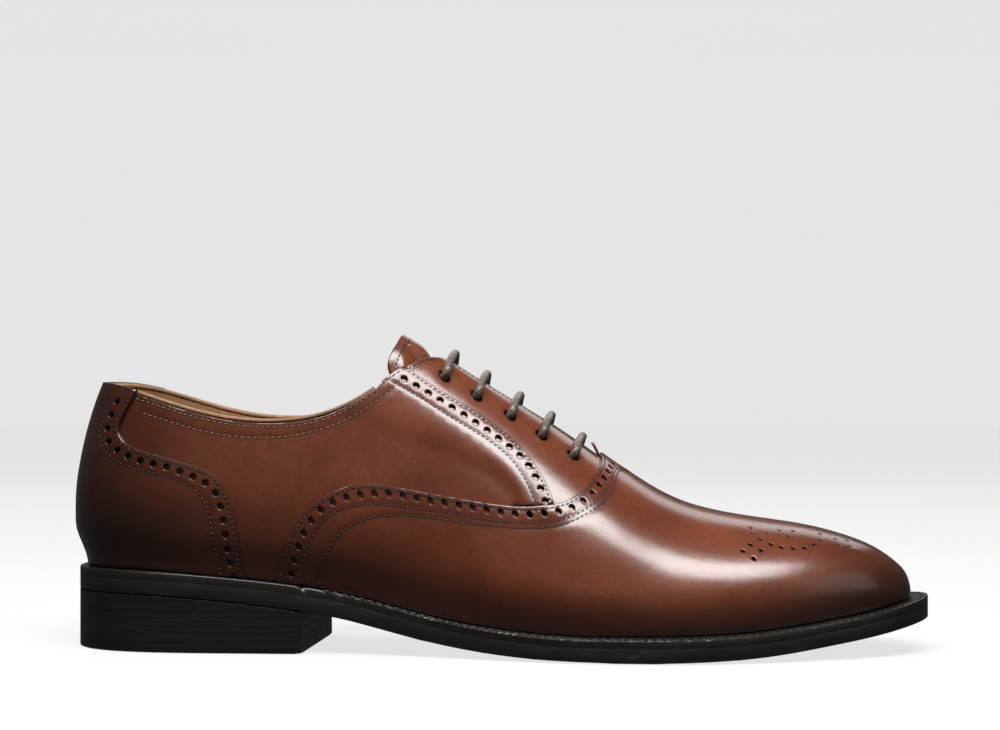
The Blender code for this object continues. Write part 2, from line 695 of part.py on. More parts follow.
def make_counter():
    """Heel counter: wraps the heel outside the quarters, with a tab up to the topline."""
    sides = {side: smooth(heel_chart(COUNTER_EDGE, side), EDGE_STEP) for side in (LATERAL, MEDIAL)}
    edges = {side: curve * (-side, 1) for side, curve in sides.items()}
    tops = {}
    for side in (LATERAL, MEDIAL):
        top = smooth(heel_chart(TOPLINE, side), EDGE_STEP)
        top = top[top[:, 0] < sides[side][0][0] - 0.5 * EDGE_STEP]
        tops[side] = top * (-side, 1)
    feather = feather_heel(edges[LATERAL][-1][0], edges[MEDIAL][-1][0])[1:-1]
    loop = joined(edges[LATERAL], feather, edges[MEDIAL][::-1], tops[MEDIAL][::-1],
                  tops[LATERAL][1:])

    def depth(q):
        apart = np.minimum(distance_to(q, edges[LATERAL]), distance_to(q, edges[MEDIAL]))
        tab = (STEP + 0.15) * ease(q[:, 1], TAB_FLOOR - 7.0, TAB_FLOOR - 2.0)
        return np.maximum(lap_raise(apart), tab)
    rows = [beside(edges[side], side * (LAP_CLEAR - 0.2)) for side in (LATERAL, MEDIAL)]
    rows.append(np.array([(p, TAB_FLOOR - 1.8) for p in np.linspace(-35.0, 35.0, 15)]))
    leather("heel_counter", [loop], from_heel, depth, BROWN, heel_zones(), rows)


def make_binding():
    """Topline binding over the raw top edges of quarters and linings."""
    tops = []
    for side in (LATERAL, MEDIAL):
        top = smooth(heel_chart(TOPLINE, side), EDGE_STEP)
        tops.append(top[top[:, 0] < BINDING_END] * (-side, 1))
    line = joined(tops[0][::-1], tops[1][1:])
    loop = joined(line, line[::-1] - (0.0, BINDING))
    panel("topline_binding", [loop], np.zeros((0, 2)), lambda q: placed(from_heel(q), -LINED),
          lambda q: placed(from_heel(q), 0.0), TAN)


def make_quarter_lining(side, name):
    """Lining of a quarter and its facing, from the heel grip to the vamp lining."""
    top = smooth(heel_chart(TOPLINE, side), EDGE_STEP)
    top = top[(top[:, 0] > HEEL_GRIP + 3.0) & (top[:, 0] < BINDING_END + 2.0)]
    top[:, 1] -= BINDING + 0.3
    facing_top = chart_of(smooth(ridge_chart(FACING_TOP, side), EDGE_STEP), side) - (0.0, 0.5)
    join = lining_edge() * (1, side)
    join = join[join[:, 1] > -EDGE_STEP]
    join = join if join[0][1] < join[-1][1] else join[::-1]
    join = beside(join, 0.7)
    free = np.array([(u, FACING_EDGE + 0.5) for u in np.linspace(ridge_at(136), ridge_at(200), 14)])
    free, front = before(free, join), after(join, free)
    front = joined(front[:-1], (front[-1][0], column(station([146.0]), np.array([side]))[0, -1] - 1))
    front = chart_of(front, side)
    front[-1, 1] = FEATHER_GAP
    start = HEEL_GRIP + 0.2
    first = (start, np.interp(start, *smooth(heel_chart(TOPLINE, side), 2.0).T) - BINDING - 0.3)
    loop = joined(first, top, facing_top, chart_of(free, side), front[1:],
                  feather_heel(front[-1][0], start)[1:])
    holes = [chart_of(ring(spot, LINING_HOLE), side) for spot in eyelet_spots()]
    leather(name, [loop, *holes], one_side(from_heel, side), lambda q: np.full(len(q), -STEP),
            TAN, ((UNDER_LACES, near_laces), (COARSE, everywhere)))


def near_laces(q):
    """The zone of a quarter lining that lies under the facing."""
    return q[:, 1] > 60.0 + 0.6 * (175.0 - q[:, 0])


def make_heel_grip():
    """Lining of the heel, sunk over the heel stiffener."""
    tops = []
    for side in (LATERAL, MEDIAL):
        top = smooth(heel_chart(TOPLINE, side), EDGE_STEP)
        end = (HEEL_GRIP, np.interp(HEEL_GRIP, *top.T))
        top = joined(top[top[:, 0] < HEEL_GRIP - 3.0], end) - (0.0, BINDING + 0.3)
        tops.append(top * (-side, 1))
    loop = joined(tops[0][::-1], tops[1][1:], feather_heel(-HEEL_GRIP, HEEL_GRIP))

    def depth(q):
        sunk = (1.0 - ease(np.abs(q[:, 0]), STIFFENER + 4.0, STIFFENER + 11.0))
        sunk *= 1.0 - ease(q[:, 1], STIFFENER_HEIGHT + 5.0, STIFFENER_HEIGHT + 13.0)
        return -STEP * (1.0 + sunk)
    leather("heel_grip", [loop], from_heel, depth, TAN, heel_zones())


def make_counter_stiffener():
    """Moulded stiffener inside the heel."""
    up = np.linspace(0.0, math.pi, 9)
    arch = np.stack([STIFFENER * np.cos(up),
                     STIFFENER_HEIGHT * (0.72 + 0.28 * np.sin(up))], -1)
    loop = joined(arch, feather_heel(-STIFFENER, STIFFENER))
    leather("counter_stiffener", [loop], from_heel, lambda q: np.full(len(q), -STEP), BOARD,
            heel_zones())


# -- eyelets and lace -----------------------------------------------------------------------------------
def eyelet_spots():
    """The eyelet centres in the ridge chart, from the toe end up, the same on both sides."""
    return ridge_chart(EYELETS, LATERAL)


def make_eyelet(side, spot, name):
    """Blind eyelet: a flanged tube under the facing, square to the last."""
    place = from_ridge(np.array([spot * (1, side)]))
    centre = placed(place, 0.0)[0]
    normal = Vector(last_normal(*place)[0])
    turn = normal.to_track_quat("Z", "Y")
    outline = ((EYELET_HOLE, EYELET_BOTTOM), (EYELET_FLANGE, EYELET_BOTTOM),
               (EYELET_FLANGE, EYELET_BOTTOM + 0.35), (EYELET_TUBE, EYELET_BOTTOM + 0.35),
               (EYELET_TUBE, EYELET_TOP), (EYELET_HOLE, EYELET_TOP))
    count = 10
    points = []
    for i in range(count):
        angle = 2 * math.pi * i / count
        for radius, height in outline:
            spoke = Vector((radius * math.cos(angle), radius * math.sin(angle), height))
            points.append(centre + np.array(turn @ spoke))
    size = len(outline)
    faces = [(i * size + j, i * size + (j + 1) % size, (i + 1) % count * size + (j + 1) % size,
              (i + 1) % count * size + j) for i in range(count) for j in range(size)]
    finish(name, points, faces, *BRASS)


def bend(spot, toward, level, height, count=4):
    """Quarter turn round an eyelet's rim: from the run along `toward` into the eyelet's axis."""
    toward = np.asarray(toward, float) / np.linalg.norm(toward)
    turn = np.linspace(math.pi / 2, 0.0, count)
    out = LACE_BEND * (1.0 - np.cos(turn))
    flat = spot + toward[None, :] * out[:, None]
    return np.column_stack([flat, level + height * np.sin(turn)])


def passage(row, side, inner):
    """The lace's way up through an eyelet, from an inner run to its bar."""
    spot = eyelet_spots()[row] * (1, side)
    below = bend(spot, inner, EYELET_BOTTOM, -LACE_BEND)
    above = bend(spot, (BAR_SLOPE, -side), 0.0, LACE_BEND)
    return np.vstack([below, above[::-1]])


def bar(row, side):
    """The straight bar from this side's eyelet to the other's, clear of both passages."""
    u, s = eyelet_spots()[row] * (1, side)
    across_gap = np.linspace(s, -s, 11)[1:-1]
    across_gap = across_gap[np.abs(across_gap) < abs(s) - LACE_BEND - 0.6]
    lean = BAR_LEAN * (1.0 - np.hypot(across_gap / s, 0.25)) / 0.75
    return np.column_stack([u + lean, across_gap, np.full(len(across_gap), LACE_BEND)])


def inner_run(first, last, side, shift):
    """The run on the inside between two rows of one side, bowed past the rows between them."""
    spots = eyelet_spots() * (1, side)
    share = np.linspace(0.0, 1.0, 2 + 4 * abs(last - first))[1:-1]
    points = []
    for part in share:
        row = first + (last - first) * part
        u = np.interp(row, range(len(spots)), spots[:, 0])
        s = np.interp(row, range(len(spots)), spots[:, 1])
        points.append((u, s + shift * math.sin(math.pi * part), INNER_RUN))
    return np.array(points)


def lace_route():
    """The held lace in the ridge chart with depth: five bars and the runs between them."""
    rear, front = np.array((-1.0, 0.0)), np.array((1.0, 0.0))
    out_lateral, out_medial = np.array((0.0, -1.0)), np.array((0.0, 1.0))
    lean = 0.55
    parts = [
        tail_stub(3, LATERAL, out_lateral),
        passage(3, LATERAL, out_lateral), bar(3, LATERAL),
        passage(3, MEDIAL, front + lean * out_medial)[::-1],
        inner_run(3, 1, MEDIAL, BYPASS),
        passage(1, MEDIAL, rear + lean * out_medial), bar(1, MEDIAL),
        passage(1, LATERAL, front)[::-1],
        inner_run(1, 0, LATERAL, 0.0),
        passage(0, LATERAL, rear), bar(0, LATERAL),
        passage(0, MEDIAL, rear - lean * out_medial)[::-1],
        inner_run(0, 2, MEDIAL, -BYPASS),
        passage(2, MEDIAL, front - lean * out_medial), bar(2, MEDIAL),
        passage(2, LATERAL, rear - lean * out_lateral)[::-1],
        inner_run(2, 4, LATERAL, BYPASS),
        passage(4, LATERAL, front - lean * out_lateral), bar(4, LATERAL),
        passage(4, MEDIAL, out_medial)[::-1],
        tail_stub(4, MEDIAL, out_medial)[::-1],
    ]
    return np.vstack(parts)


def tail_stub(row, side, out):
    """The lace's last stretch from an eyelet to where its free tail begins."""
    spot = eyelet_spots()[row] * (1, side)
    return np.array([(*(spot + out * reach), INNER_RUN) for reach in (5.5, 3.6)])


def in_space(route):
    """Design points of ridge-chart points with depth."""
    return placed(from_ridge(route[:, :2]), route[:, 2])


def tube(name, points, radius, look, resolution=2):
    """Round cord along some points, with filled ends."""
    curve = bpy.data.curves.new(name, "CURVE")
    curve.dimensions = "3D"
    curve.bevel_depth = radius * MM
    curve.bevel_resolution = resolution
    curve.use_fill_caps = True
    line = curve.splines.new("POLY")
    line.points.add(len(points) - 1)
    for spot, point in zip(line.points, to_world(points)):
        spot.co = (*point, 1.0)
    part = bpy.data.objects.new(name, curve)
    bpy.context.scene.collection.objects.link(part)
    part.data.materials.append(material(name, *look, 0.0))
    return part


def make_lace():
    """The held part of the lace, laced with straight bars."""
    tube("lace", in_space(lace_route()), LACE, LACE_LOOK, resolution=1)


# Free tails, tucked away inside the shoe: down the lining beside the tongue (length, across,
# height), then forward along the sock liner into the toe box and back (length, across).
WALL_LATERAL = ((150, -29, 46), (158, -31, 31))
FLOOR_LATERAL = ((174, -32.5), (186, -33), (200, -31), (216, -26.5), (232, -21.5), (246, -15.5),
                 (255.5, -8.5), (253, -2.3), (243, -3.6), (230, -7.5))
WALL_MEDIAL = ((141, 21.0, 46), (149, 23.0, 31))
FLOOR_MEDIAL = ((170, 28.5), (184, 32.5), (198, 34.5), (212, 34), (226, 31), (240, 25), (251, 18),
                (256, 11.3), (251, 5.6), (240, 6.2), (228, 9))
AGLET_LENGTH = 20.0
AGLET = 1.6


def sock_top(x):
    """Height of the sock liner's upper face."""
    return sole_top(x) + 0.6 + INSOLE + SOCK


def on_floor(points, lift):
    """Plan points laid on the sock liner."""
    points = np.asarray(points, float)
    return np.column_stack([points, sock_top(points[:, 0]) + lift])


def tail_start(row, side):
    """The tail's run from the held lace's end down the lining's wall."""
    u, s = eyelet_spots()[row]
    wall = [(u + 0.0, s + 6.0, INNER_RUN), (u + 1.0, s + 11.0, INNER_RUN + 0.2),
            (u + 3.0, s + 20.0, INNER_RUN + 0.5), (u + 6.0, s + 30.0, INNER_RUN + 0.5)]
    return in_space(np.array(wall) * (1, side, 1))


def make_tail(row, side, wall, floor, name):
    """Free tail of the lace with the aglet on its end."""
    laid = on_floor(floor, LACE + 0.5)
    route = smooth(np.vstack([tail_start(row, side), wall, laid]), 6.5)
    tube(f"lace_tail_{name}", route, LACE, LACE_LOOK)
    heading = route[-1, :2] - route[-2, :2]
    heading /= np.linalg.norm(heading)
    ends = [route[-1, :2] + heading * reach for reach in (0.4, 0.4 + AGLET_LENGTH)]
    tube(f"aglet_{name}", on_floor(ends, LACE + 0.5), AGLET, AGLET_LOOK)


# -- tongue ---------------------------------------------------------------------------------------------
def make_tongue():
    """Tongue: stitched in at the throat, its free end above the facings."""
    half = [(117.6, 8), (115.2, 17), (114.9, 22), (117, 25.5), (124, 26), (140, 25), (160, 23.5),
            (180, 21.5), (192, 19.5), (196, 15)]
    half = np.array([(ridge_at(x), s) for x, s in half])
    loop = smooth(joined((ridge_at(118.6), 0.0), half, (ridge_at(197.5), 0.0)), EDGE_STEP)
    loop = joined(loop[:-1], (loop * (1, -1))[::-1][:-1])

    def depth(q):
        crown = 1.0 - ease(np.abs(q[:, 1]), 3.0, 8.0)
        free_end = 1.0 - ease(q[:, 0], ridge_at(118.6) + 7.0 * crown, ridge_at(131.0) + 8.0 * crown)
        rise = 5.0 - 2.0 * (q[:, 1] / 22.0) ** 2 + 0.8 * crown
        return TONGUE_TOP + rise * free_end + 3.2 * ease(q[:, 0], ridge_at(184), ridge_at(195))
    leather("tongue", [loop], from_ridge, depth, BROWN, (((6.0, 6.0), everywhere),),
            thickness=TONGUE_THICK)
    tongue = bpy.data.objects["tongue"]
    hinge = Vector(to_world((TONGUE_HINGE[0], 0.0, TONGUE_HINGE[1])))
    tongue.data.transform(Matrix.Translation(-hinge))
    tongue.location = hinge


# -- bottom ---------------------------------------------------------------------------------------------
sole_half = {LATERAL: profile(SOLE_LATERAL, 0.0, SOLE_LENGTH),
             MEDIAL: profile(SOLE_MEDIAL, 0.0, SOLE_LENGTH)}
bottom_z = plain_profile(SOLE_BOTTOM)


def sole_top(x):
    """Height of the welt's top face."""
    return feather_z(station(np.minimum(x, TOE_X))) + 0.22 * np.maximum(x - TOE_X, 0.0)


def sole_bottom(x):
    """Height of the outsole's walking face."""
    low = bottom_z(station(np.clip(x, HEEL_X, TOE_X))) + 0.22 * np.maximum(x - TOE_X, 0.0)
    return np.maximum(low, 0.0)


def breast(side):
    """Length of the heel's front face at one edge of the sole."""
    return HEEL_BREAST + side * BREAST_SLANT * 31.0


def sole_edge(start, end, side, count):
    """Points on the sole's edge between two lengths."""
    t = np.linspace(station(start, 0.0, SOLE_LENGTH), station(end, 0.0, SOLE_LENGTH), count)
    return np.stack([length_at(t, 0.0, SOLE_LENGTH), side * sole_half[side](t)], -1)


def whole_edge():
    """The sole's closed outline, from the heel along the lateral side."""
    return joined(sole_edge(0, SOLE_LENGTH, LATERAL, 34)[:-1],
                  sole_edge(SOLE_LENGTH, 0, MEDIAL, 34)[:-1])


def front_edge():
    """The sole's edge in front of the heel, lateral to medial."""
    return joined(sole_edge(breast(LATERAL) + 0.3, SOLE_LENGTH, LATERAL, 26)[:-1],
                  sole_edge(SOLE_LENGTH, breast(MEDIAL) + 0.3, MEDIAL, 26))


def heel_edge():
    """The sole's edge round the heel, medial to lateral."""
    return joined(sole_edge(breast(MEDIAL), 0, MEDIAL, 11)[:-1],
                  sole_edge(0, breast(LATERAL), LATERAL, 11))


def last_inset(depth, count=34):
    """Closed outline in plan at a depth inside the last's feather edge."""
    t = np.linspace(0.0, math.pi, count)[1:-1]
    level = np.zeros(len(t))
    lateral = placed((t, np.full(len(t), LATERAL), level), depth)
    medial = placed((t, np.full(len(t), MEDIAL), level), depth)
    return joined(lateral[:, :2], medial[::-1, :2])


def slab(name, loops, low, high, look, bent=True):
    """Piece over a plan outline between two heights, each a function of the length."""
    def face(q, level):
        return np.column_stack([q, level(q[:, 0])])
    grid = np.zeros((0, 2))
    if bent:
        loops = [divided(loop, 9.0) for loop in loops]
        grid = lattice(loops, (9.0, 30.0))
    panel(name, loops, grid, lambda q: face(q, low), lambda q: face(q, high), look)


def flat(level):
    """A height that is the same all over."""
    return lambda x: np.full(len(x), float(level))


def offset(surface, by):
    """A height function moved up."""
    return lambda x: surface(x) + by


def make_welt_and_rand():
    """Welt round the forepart and rand round the heel, between upper and outsole."""
    low, high = offset(sole_top, -WELT), offset(sole_top, 0.0)
    front = front_edge()
    slab("welt", [joined(front, beside(front, WELT_WIDTH)[::-1])], low, high, BLACK)
    heel = heel_edge()
    slab("heel_rand", [joined(heel, beside(heel, WELT_WIDTH)[::-1])], low, high, BLACK)


def rounded_slot(start, end, width):
    """Long hole with round ends, in plan on the centre line of the waist."""
    turn = np.linspace(-math.pi / 2, math.pi / 2, 5)
    nose = np.stack([end + width * np.cos(turn), width * np.sin(turn)], -1)
    tail = np.stack([start - width * np.cos(turn), -width * np.sin(turn)], -1)
    return joined(nose, tail)


def make_inside_bottom():
    """Cork filler with the shank in its slot, insole and sock liner."""
    core = whole_edge()
    core = beside(joined(core[-1], core, core[0]), WELT_WIDTH + 0.5)[1:-1]
    low = offset(sole_top, -WELT)
    slab("cork_filler", [core, rounded_slot(58.0, 160.0, 7.5)], low, offset(sole_top, -0.1), CORK)
    slab("shank", [rounded_slot(59.0, 159.0, 6.8)], offset(sole_top, -2.2),
         offset(sole_top, -0.8), STEEL)
    slab("insole", [last_inset(-LINED - STEP - 0.7)], offset(sole_top, 0.3),
         offset(sole_top, 0.3 + INSOLE), BOARD)
    slab("sock_liner", [last_inset(-LINED - STEP - 1.4)], offset(sole_top, 0.6 + INSOLE),
         offset(sole_top, 0.6 + INSOLE + SOCK), TAN)


def make_outsole():
    """Outsole from heel to toe."""
    slab("outsole", [whole_edge()], sole_bottom, offset(sole_top, -WELT - SOLE_GAP), BLACK)


NAIL_HOLE = 1.4
HEEL_LIFTS = (("heel_top_piece", 0.0, 5.6), ("heel_lift_lower", 5.9, 8.7),
              ("heel_lift_middle", 9.0, 11.8))
NAIL_LEVELS = (0.4, 11.6)


def nail_spots():
    """Seven nails in a horseshoe inside the heel's edge."""
    edge = beside(heel_edge(), 9.0)
    share = np.linspace(0.07, 0.93, 7) * (len(edge) - 1)
    return np.stack([np.interp(share, range(len(edge)), edge[:, i]) for i in (0, 1)], -1)


def make_heel():
    """Stacked heel: top piece, two flat lifts, a wedge lift, and the nails through them."""
    holes = [ring(spot, NAIL_HOLE, 8) for spot in nail_spots()]
    for name, low, high in HEEL_LIFTS:
        slab(name, [heel_edge(), *holes], flat(low), flat(high), BLACK, bent=False)
    slab("heel_lift_upper", [heel_edge()], flat(12.1), offset(sole_bottom, -SOLE_GAP), BLACK)
    for i, spot in enumerate(nail_spots()):
        slab(f"heel_nail_{i + 1}", [ring(spot, 1.0, 8)], flat(NAIL_LEVELS[0]),
             flat(NAIL_LEVELS[1]), BRASS, bent=False)


# -- assembly -------------------------------------------------------------------------------------------
def build():
    """Every sub-part of the shoe."""
    for thing in list(bpy.data.objects):
        bpy.data.objects.remove(thing)
    make_vamp()
    make_vamp_lining()
    make_toe_puff()
    make_counter()
    make_heel_grip()
    make_counter_stiffener()
    make_binding()
    make_tongue()
    for side, name in ((LATERAL, "lateral"), (MEDIAL, "medial")):
        make_facing(side, f"facing_{name}")
        make_quarter(side, f"quarter_{name}")
        make_quarter_lining(side, f"quarter_lining_{name}")
        for row, spot in enumerate(eyelet_spots()):
            make_eyelet(side, spot, f"eyelet_{name}_{row + 1}")
    make_lace()
    make_tail(3, LATERAL, WALL_LATERAL, FLOOR_LATERAL, "lateral")
    make_tail(4, MEDIAL, WALL_MEDIAL, FLOOR_MEDIAL, "medial")
    make_welt_and_rand()
    make_inside_bottom()
    make_outsole()
    make_heel()


build()
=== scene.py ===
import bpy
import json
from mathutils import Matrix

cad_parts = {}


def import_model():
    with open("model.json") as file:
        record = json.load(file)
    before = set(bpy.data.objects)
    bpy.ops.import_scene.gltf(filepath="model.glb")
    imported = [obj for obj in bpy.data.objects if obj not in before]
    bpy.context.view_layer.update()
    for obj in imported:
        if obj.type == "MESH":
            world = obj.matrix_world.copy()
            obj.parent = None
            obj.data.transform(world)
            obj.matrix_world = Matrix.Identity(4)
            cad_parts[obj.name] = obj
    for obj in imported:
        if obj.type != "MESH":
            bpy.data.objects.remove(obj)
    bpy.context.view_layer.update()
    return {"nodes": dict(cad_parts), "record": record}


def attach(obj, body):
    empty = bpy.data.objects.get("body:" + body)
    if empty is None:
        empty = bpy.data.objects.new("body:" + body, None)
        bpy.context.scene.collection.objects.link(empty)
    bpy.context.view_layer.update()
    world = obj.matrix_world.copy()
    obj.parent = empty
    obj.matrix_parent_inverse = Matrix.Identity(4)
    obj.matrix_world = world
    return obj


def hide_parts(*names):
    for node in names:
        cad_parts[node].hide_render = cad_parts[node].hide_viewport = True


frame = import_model()

"""Looks of the leather oxford shoe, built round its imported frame.

The upper is modelled again in fine leather, on the same last and the same seams as the frame: every
panel is a closed mesh with rounded edges, punched holes and sewn channels. Work is in design
millimetres from the back of the outsole; to_world() turns it into the frame's metres.
"""
import json
import math

import bmesh
import bpy
import numpy as np
from mathutils import Vector
from mathutils.geometry import delaunay_2d_cdt

MM = 0.001
MOUNT = frame["record"]["mounts"][0]["pos_m"]
MOUNT_DESIGN = (40.0, 0.0, 0.0)          # the heel's ground face in the design's own millimetres
ORIGIN = np.array(MOUNT_DESIGN) - np.array(MOUNT) / MM
SOLE_LENGTH = 306.0
HEEL_X = -1.8                            # rearmost and foremost points of the last
TOE_X = 300.2
FAN_X = 60.0
TUCK_HEIGHT = 16.0
LATERAL, MEDIAL = -1, 1
SIDES = ((LATERAL, "lateral"), (MEDIAL, "medial"))

GAP = 0.4
LEATHER = 1.0
STEP = LEATHER + GAP
LAP = 7.5
LAP_EASE = 5.0
LAP_CLEAR = LAP + 1.4
SLOW_EASE = 26.0         # a raised panel sinks this much more slowly than in the frame, unseen
FEATHER_GAP = 0.4
LINED = STEP + LEATHER
WELT = 2.6
SOLE_GAP = 0.3
HEEL_BREAST = 86.6
BREAST_SLANT = 0.035
WELT_WIDTH = 12.0
INSOLE = 3.0
SOCK = 1.0

EYELET_HOLE = 1.85
EYELET_TUBE = 2.3
EYELET_FLANGE = 3.8
EYELET_POINTS = 28
EYELET_TOP = -1.4
EYELET_BOTTOM = -3.8
FACING_HOLE = 2.4
LINING_HOLE = 3.7
LACE = 1.5
LACE_BEND = 2.05
INNER_RUN = EYELET_BOTTOM - LACE_BEND
BYPASS = 3.6
BAR_LEAN = 1.9           # a bar crosses the sloping ridge this far ahead of its eyelets
BAR_SLOPE = 0.22
TONGUE_TOP = -7.7
TONGUE_THICK = 1.2

# -- profiles of the last and the sole: (length, value) pairs, as in the frame's own design
UPPER_LATERAL = ((HEEL_X, 0), (8, 21.5), (30, 30.5), (60, 32.3), (90, 32.0), (118, 33.5), (145, 38.8),
                 (172, 45.8), (200, 49.0), (225, 47.2), (250, 40.5), (270, 32.2), (286, 23.3),
                 (296, 13.5), (TOE_X, 0))
UPPER_MEDIAL = ((HEEL_X, 0), (8, 21.5), (32, 30.0), (60, 30.8), (95, 26.6), (120, 25.6), (145, 29.0),
                (170, 36.5), (195, 43.2), (222, 45.8), (248, 42.3), (268, 35.0), (286, 25.0),
                (296.3, 14.0), (TOE_X, 0))
FEATHER = ((HEEL_X, 28.8), (20, 28.8), (36, 28.3), (64, 26.2), (84, 24.0), (100, 21.3), (120, 16.5),
           (140, 12.2), (160, 9.7), (180, 8.4), (200, 8.3), (212, 8.3), (225, 8.5), (248, 9.9),
           (270, 12.9), (288, 15.9), (TOE_X, 18.6))
RIDGE = ((HEEL_X, 137), (30, 136.5), (60, 134), (80, 129), (100, 122.5), (118.6, 114), (134.2, 104.6),
         (153.8, 92), (174.5, 78.8), (193.2, 65.6), (207.2, 57.0), (221.7, 51.2), (243.4, 46.7),
         (262, 44.0), (276, 40.6), (288, 35.8), (294.5, 31.3), (298.6, 26.6), (TOE_X, 18.6))
CENTRE = ((HEEL_X, 0), (60, 0), (120, 0), (150, 1), (190, 3), (225, 5), (260, 4), (TOE_X, 1.5))
SIDE_POWER = ((HEEL_X, 2.0), (60, 2.0), (118, 1.95), (150, 1.9), (190, 2.0), (230, 2.3),
              (265, 2.45), (TOE_X, 2.5))
TOP_POWER = ((HEEL_X, 2.2), (60, 2.2), (118, 2.0), (150, 1.85), (190, 1.75), (230, 1.9),
             (265, 2.15), (TOE_X, 2.3))
TUCK = ((HEEL_X, 5.0), (20, 4.2), (50, 3.3), (100, 2.6), (160, 2.0), (220, 1.4), (270, 0.9),
        (TOE_X, 0.6))
SOLE_LATERAL = ((0, 0), (9, 22.5), (30, 31.8), (60, 33.4), (90, 33.5), (118, 36), (145, 42),
                (172, 49.5), (200, 53), (225, 51.3), (250, 44.5), (272, 35.5), (290, 26),
                (301, 15.5), (SOLE_LENGTH, 0))
SOLE_MEDIAL = ((0, 0), (9, 22.5), (32, 31.5), (65, 31.5), (95, 28), (120, 27.3), (145, 31.5),
               (170, 40), (195, 47), (222, 49.8), (248, 46.5), (270, 38.5), (290, 27.5),
               (301.5, 16.5), (SOLE_LENGTH, 0))
SOLE_BOTTOM = ((HEEL_X, 20.5), (20, 20.5), (40, 19.6), (64, 17.6), (84, 15.0), (100, 12.2), (120, 7.4),
               (140, 3.4), (160, 1.1), (180, 0.2), (200, 0), (212, 0), (225, 0.3), (248, 1.7),
               (270, 4.7), (288, 7.7), (TOE_X, 10.3))

# -- seams and their decoration in side view: (length, height) pairs, the same on both sides
TOPLINE = ((9.5, 94.6), (18, 94.0), (30.5, 90.8), (44.5, 86.6), (58.5, 83.5), (72.5, 82.4), (86.5, 83.5),
           (98, 87.0), (107.5, 92.2), (114, 96.8), (119.6, 100.6))
FACING_TOP = ((115, 97.4), (119.6, 100.6), (124, 103.0), (128.2, 104.4), (131.8, 104.0))
STRIP_EDGE = ((120.3, 100.4), (132, 92.5), (143, 85.9), (152.5, 79.7), (158.5, 75), (163, 70.8),
              (166.8, 66.2), (170, 61.4), (172.4, 57), (174.5, 51.5))
VAMP_EDGE = ((189.5, 66), (188, 62.7), (184.7, 58.3), (180, 54.6), (174, 52.4), (166, 51.7),
             (156, 52.3), (143, 54.2), (129, 56.6), (116, 58.8), (108, 59.6), (101, 58.6),
             (94.5, 55.8), (88, 51.3), (83, 44.5), (80, 38), (78, 32), (76.5, 25))
COUNTER_EDGE = ((25.6, 92.3), (23.2, 87.5), (20.4, 82.2), (19.3, 78.6), (20.4, 75.3), (24.3, 72.4),
                (32.4, 69.8), (42, 67.2), (50, 64.8), (55.4, 61.8), (58.6, 57.6), (61, 51.5),
                (62.5, 46), (63.6, 38), (64.5, 32), (65.4, 26.3))
TOE_SHOULDER = ((280.0, 35.4), (286.0, 32.4), (291.6, 29.4))
LINING_JOIN = ((186, 66), (178, 57), (166, 44), (154, 28), (146, 11.5))
EYELETS = ((180.1, 69.4), (168.9, 76.5), (157.6, 83.5), (145.6, 90.5), (134.1, 97.4))
STRIP_HOLES = ((120.2, 95.7), (132.8, 88.3), (146.2, 80.1), (154.9, 74.2), (162.9, 67.7), (168.2, 59.9),
               (171.0, 53.4))
STRIP_ROW = ((116.2, 94.9), (126.8, 88.8), (137.5, 82.1), (148.9, 75.3), (158.9, 67.4), (164.9, 58.8),
             (168.6, 51.3))
VAMP_HOLES = ((81.7, 26.9), (83.5, 34.5), (87.7, 44.6), (93.9, 51.7), (104, 55.4), (115, 56.2),
              (130.8, 53.8), (147.5, 51.2), (157.6, 49.6), (168.2, 49.1), (178.2, 50.5), (186, 54.9),
              (190.4, 60.2), (193.1, 64.3))
VAMP_ROW_A = ((84.4, 24.8), (86.5, 33.9), (90.8, 43), (96.4, 49), (103.4, 51.7), (114.3, 52.4),
              (126.8, 51.0), (143, 48.6), (155.6, 46.8), (166.2, 46.3), (176.8, 47.3), (186, 51.5),
              (191.8, 57.0), (196.0, 63.2))
VAMP_ROW_B = ((91.2, 23.8), (94.5, 34.7), (98.3, 41), (104.6, 46), (116.3, 48.6), (127.5, 48.4),
              (143, 46.4), (155.6, 45.1), (166.2, 44.5), (176.8, 45.6), (186, 49.6), (193.4, 56.2),
              (197.4, 62.4))
COUNTER_HOLES = ((18.5, 87.8), (15.6, 80.5), (15.4, 74.8), (20.5, 70.4), (27.6, 67.5), (36.9, 65.5),
                 (46.6, 62.2), (54.2, 57.8), (57.5, 50.5), (59.2, 40.0), (60.5, 31.7), (61.6, 27.2))
COUNTER_ROW = ((15.4, 88.5), (12.4, 81.0), (12.4, 74.0), (17.0, 68.4), (26.5, 64.4), (36.9, 62.2),
               (45.5, 58.6), (51.2, 53.6), (53.6, 46.5), (55.4, 36.0), (57.2, 26.6))
TOPLINE_ROW = ((27.5, 84.4), (37.9, 81.2), (48.2, 78.4), (58, 76.5), (69.4, 75.7), (77.5, 75.9),
               (86.5, 77.3), (95.2, 79.8), (103.5, 83.6), (110.5, 88.0), (116.6, 92.6))
HOLE_PITCH = 5.0
HOLE = 1.2
